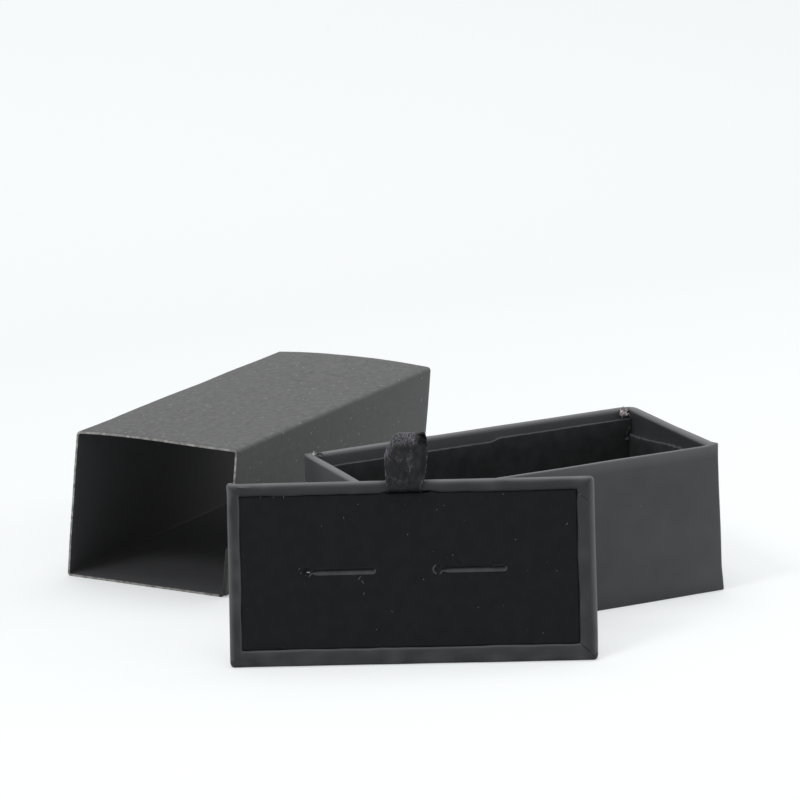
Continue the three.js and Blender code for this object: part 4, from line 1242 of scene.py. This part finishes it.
# Woven polyester satin, dyed black, with painted light: its right corner, turned from the light, is painted
# near black as shade, and pale glints are painted into its colour at the crown, the left side, the selvedges
# and in patches. The real threads are finer than the picture's points, so they are drawn about 0.3 mm apart.
def satin_paint(name):
    """Woven ribbon, with its pattern along and across the ribbon from the mesh's UV map, in millimetres,
    and its painted glints and painted shade from the mesh's attributes.
    """
    paint = empty_paint(name)
    tree = paint.node_tree
    at = add_node(tree, "TexCoord").outputs["UV"]
    streaks = add_node(tree, "Mapping", {"Scale": (*CLOUDS_PER_MM, 1.0)}, {"Vector": at})
    cloud = add_node(tree, "TexNoise", {"Scale": 1.0, "Detail": 5.0, "Roughness": 0.65},
                     {"Vector": streaks.outputs[0]})
    share = add_node(tree, "MapRange", {"From Min": CLOUD_LIMITS[0], "From Max": CLOUD_LIMITS[1]},
                     {"Value": cloud.outputs[0]})
    shade = add_node(tree, "Mix", {
        "data_type": "RGBA", 6: linear(RIBBON_COLOURS[0]), 7: linear(RIBBON_COLOURS[1])},
        {0: share.outputs[0]})
    sparks = add_node(tree, "TexNoise", {
        "Scale": SPARKS_PER_THREAD / THREAD_SPAN, "Detail": 3.0, "Roughness": 0.7},
        {"Vector": streaks.outputs[0]})
    rare = add_node(tree, "MapRange", {"From Min": SPARK_LIMITS[0], "From Max": SPARK_LIMITS[1]},
                    {"Value": sparks.outputs[0]})
    # Painted shade: the turned attribute darkens the loop's right corner and right edge.
    turned = add_node(tree, "Attribute", {"attribute_name": "turned"})
    shade = add_node(tree, "Mix", {"data_type": "RGBA", 7: linear(TURNED_PAINTED_SHADE_COLOUR)},
                     {0: turned.outputs["Fac"], 6: shade.outputs[2]})
    # Painted highlight: the glint attribute mixes the pale glint colour into the ribbon's colour.
    lit = add_node(tree, "Attribute", {"attribute_name": "painted_glint"})
    caught = add_node(tree, "Math", {"operation": "MULTIPLY"}, {0: rare.outputs[0], 1: lit.outputs["Fac"]})
    painted_glints = add_node(tree, "Mix", {"data_type": "RGBA", 7: linear(PAINTED_GLINT_COLOUR)},
                      {0: caught.outputs[0], 6: shade.outputs[2]})
    # A wave texture of scale 1 repeats every tenth of pi, which is WAVE_BAND.
    threads = add_node(tree, "TexWave", {
        "bands_direction": "Y", "Scale": WAVE_BAND / THREAD_SPAN, "Distortion": THREAD_WANDER,
        "Detail Scale": 2.0}, {"Vector": at})
    rise = add_node(tree, "Bump", {"Strength": THREAD_STRENGTH, "Distance": THREAD_HEIGHT * MM},
                    {"Height": threads.outputs[0]})
    crumple = add_node(tree, "Bump", {"Strength": CLOUD_STRENGTH, "Distance": CLOUD_HEIGHT * MM},
                       {"Height": cloud.outputs[0], "Normal": rise.outputs[0]})
    dulled = add_node(tree, "MapRange", {"To Min": SATIN_ROUGHNESS, "To Max": 1.0},
                      {"Value": turned.outputs["Fac"]})
    surface = add_node(tree, "BsdfPrincipled", {"Specular IOR Level": 0.3}, {
        "Base Color": painted_glints.outputs[2], "Roughness": dulled.outputs[0], "Normal": crumple.outputs[0]})
    add_node(tree, "OutputMaterial", links={"Surface": surface.outputs[0]})
    return paint


woven_satin = satin_paint("woven_ribbon")
loop_foot = insert_place.inverted() @ Vector(joints["ribbon_fold"]["pos_m"]) / MM
ribbon_length = sum((Vector(a) - Vector(b)).length for a, b in zip(RIBBON_LINE, RIBBON_LINE[1:]))
loop_top = max(up for up, out in RIBBON_LINE)
half_ribbon = RIBBON_WIDTH / 2
bm = bmesh.new()
bmesh.ops.create_grid(bm, x_segments=RIBBON_COLUMNS, y_segments=RIBBON_ROWS, size=0.5)
weave = bm.loops.layers.uv.new("weave")
painted_glint = bm.verts.layers.float.new("painted_glint")
turned_painted_shade = bm.verts.layers.float.new("turned")
for face in bm.faces:
    for corner in face.loops:
        corner[weave].uv = (corner.vert.co.x * RIBBON_WIDTH, corner.vert.co.y * ribbon_length)
for vert in bm.verts:
    across = vert.co.x * RIBBON_WIDTH
    up, out = through(RIBBON_LINE, vert.co.y + 0.5)
    below_top = loop_top - up
    shoulder = max(1 - (across + half_ribbon) / SHOULDER_WIDTH, 0) ** 2
    right_share = max(1 - (half_ribbon - across) / RIGHT_WIDTH, 0) ** 2
    fold = eased(across, half_ribbon - RIGHT_FOLD_WIDTH, half_ribbon) * eased(up, *RIGHT_FOLD_RISE)
    opened = eased(up, *GATHER)
    width_share = FOOT_WIDTH_SHARE + (HEAD_WIDTH_SHARE - FOOT_WIDTH_SHARE) * opened
    drop = (SHOULDER_DROP * shoulder + RIGHT_DROP * right_share) * eased(up, SHOULDER_FROM, loop_top)
    vert.co = loop_foot + Vector((
        across * width_share + FOOT_SHIFT + (HEAD_SHIFT - FOOT_SHIFT) * opened,
        up - drop,
        out - RIGHT_FOLD * fold * (out > 0),
    ))
    for crumple in CRUMPLES:
        at = Vector((vert.co.x / crumple["across"], vert.co.y / crumple["up"], vert.co.z / crumple["up"]))
        shift = noise.noise_vector(at) * crumple["height"] * eased(up, *CRUMPLE_RISE)
        vert.co += Vector((CRUMPLE_IN_PLANE * shift.x, CRUMPLE_IN_PLANE * shift.y, shift.z))

    # Painted shade: the right corner of the loop's head and its right edge are painted darker.
    turned_from = TURNED_FROM + TURNED_SLANT * (1 - eased(below_top, 0, TURNED_DEPTH))
    corner = eased(across, turned_from, turned_from + TURNED_FADE)
    corner *= 1 - eased(below_top, TURNED_FULL_DEPTH, TURNED_DEPTH)
    edge = TURNED_SIDE["share"] * eased(across, TURNED_SIDE["from"], TURNED_SIDE["to"])
    edge *= eased(up, *TURNED_SIDE["rise"])
    vert[turned_painted_shade] = max(corner, edge)

    # Painted highlight: pale glints painted at the crown, the left side, the selvedges and in patches.
    crown = 1 - eased(below_top, CROWN_GLINT["depth"] / 2, CROWN_GLINT["depth"])
    crown *= 1 - eased(across, *CROWN_GLINT["fade"])
    side = eased(-across, *SIDE_GLINT["fade"])
    side *= 1 - eased(below_top, SIDE_GLINT["depth"] / 2, SIDE_GLINT["depth"])
    selvedge = eased(abs(across), half_ribbon - SELVEDGE_GLINT["width"], half_ribbon)
    selvedge *= SELVEDGE_GLINT["strength"]
    at = Vector((across / PATCH_GLINT["across"], up / PATCH_GLINT["up"], PATCH_GLINT["seed"]))
    patch = PATCH_GLINT["strength"] * eased(noise.noise(at), 0, PATCH_GLINT["limit"])
    patch *= 1 - eased(across, *PATCH_GLINT["fade"])
    vert[painted_glint] = max(crown, side, selvedge, patch) * (1 - corner)
ribbon = make_piece("ribbon_pull", bm, insert_place, [woven_satin])
thicken(ribbon, RIBBON_THICKNESS, offset=0)
bake_modifiers(ribbon, RIBBON_SMOOTH_TO)
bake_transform(ribbon)
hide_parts("ribbon_tail", "ribbon_loop")
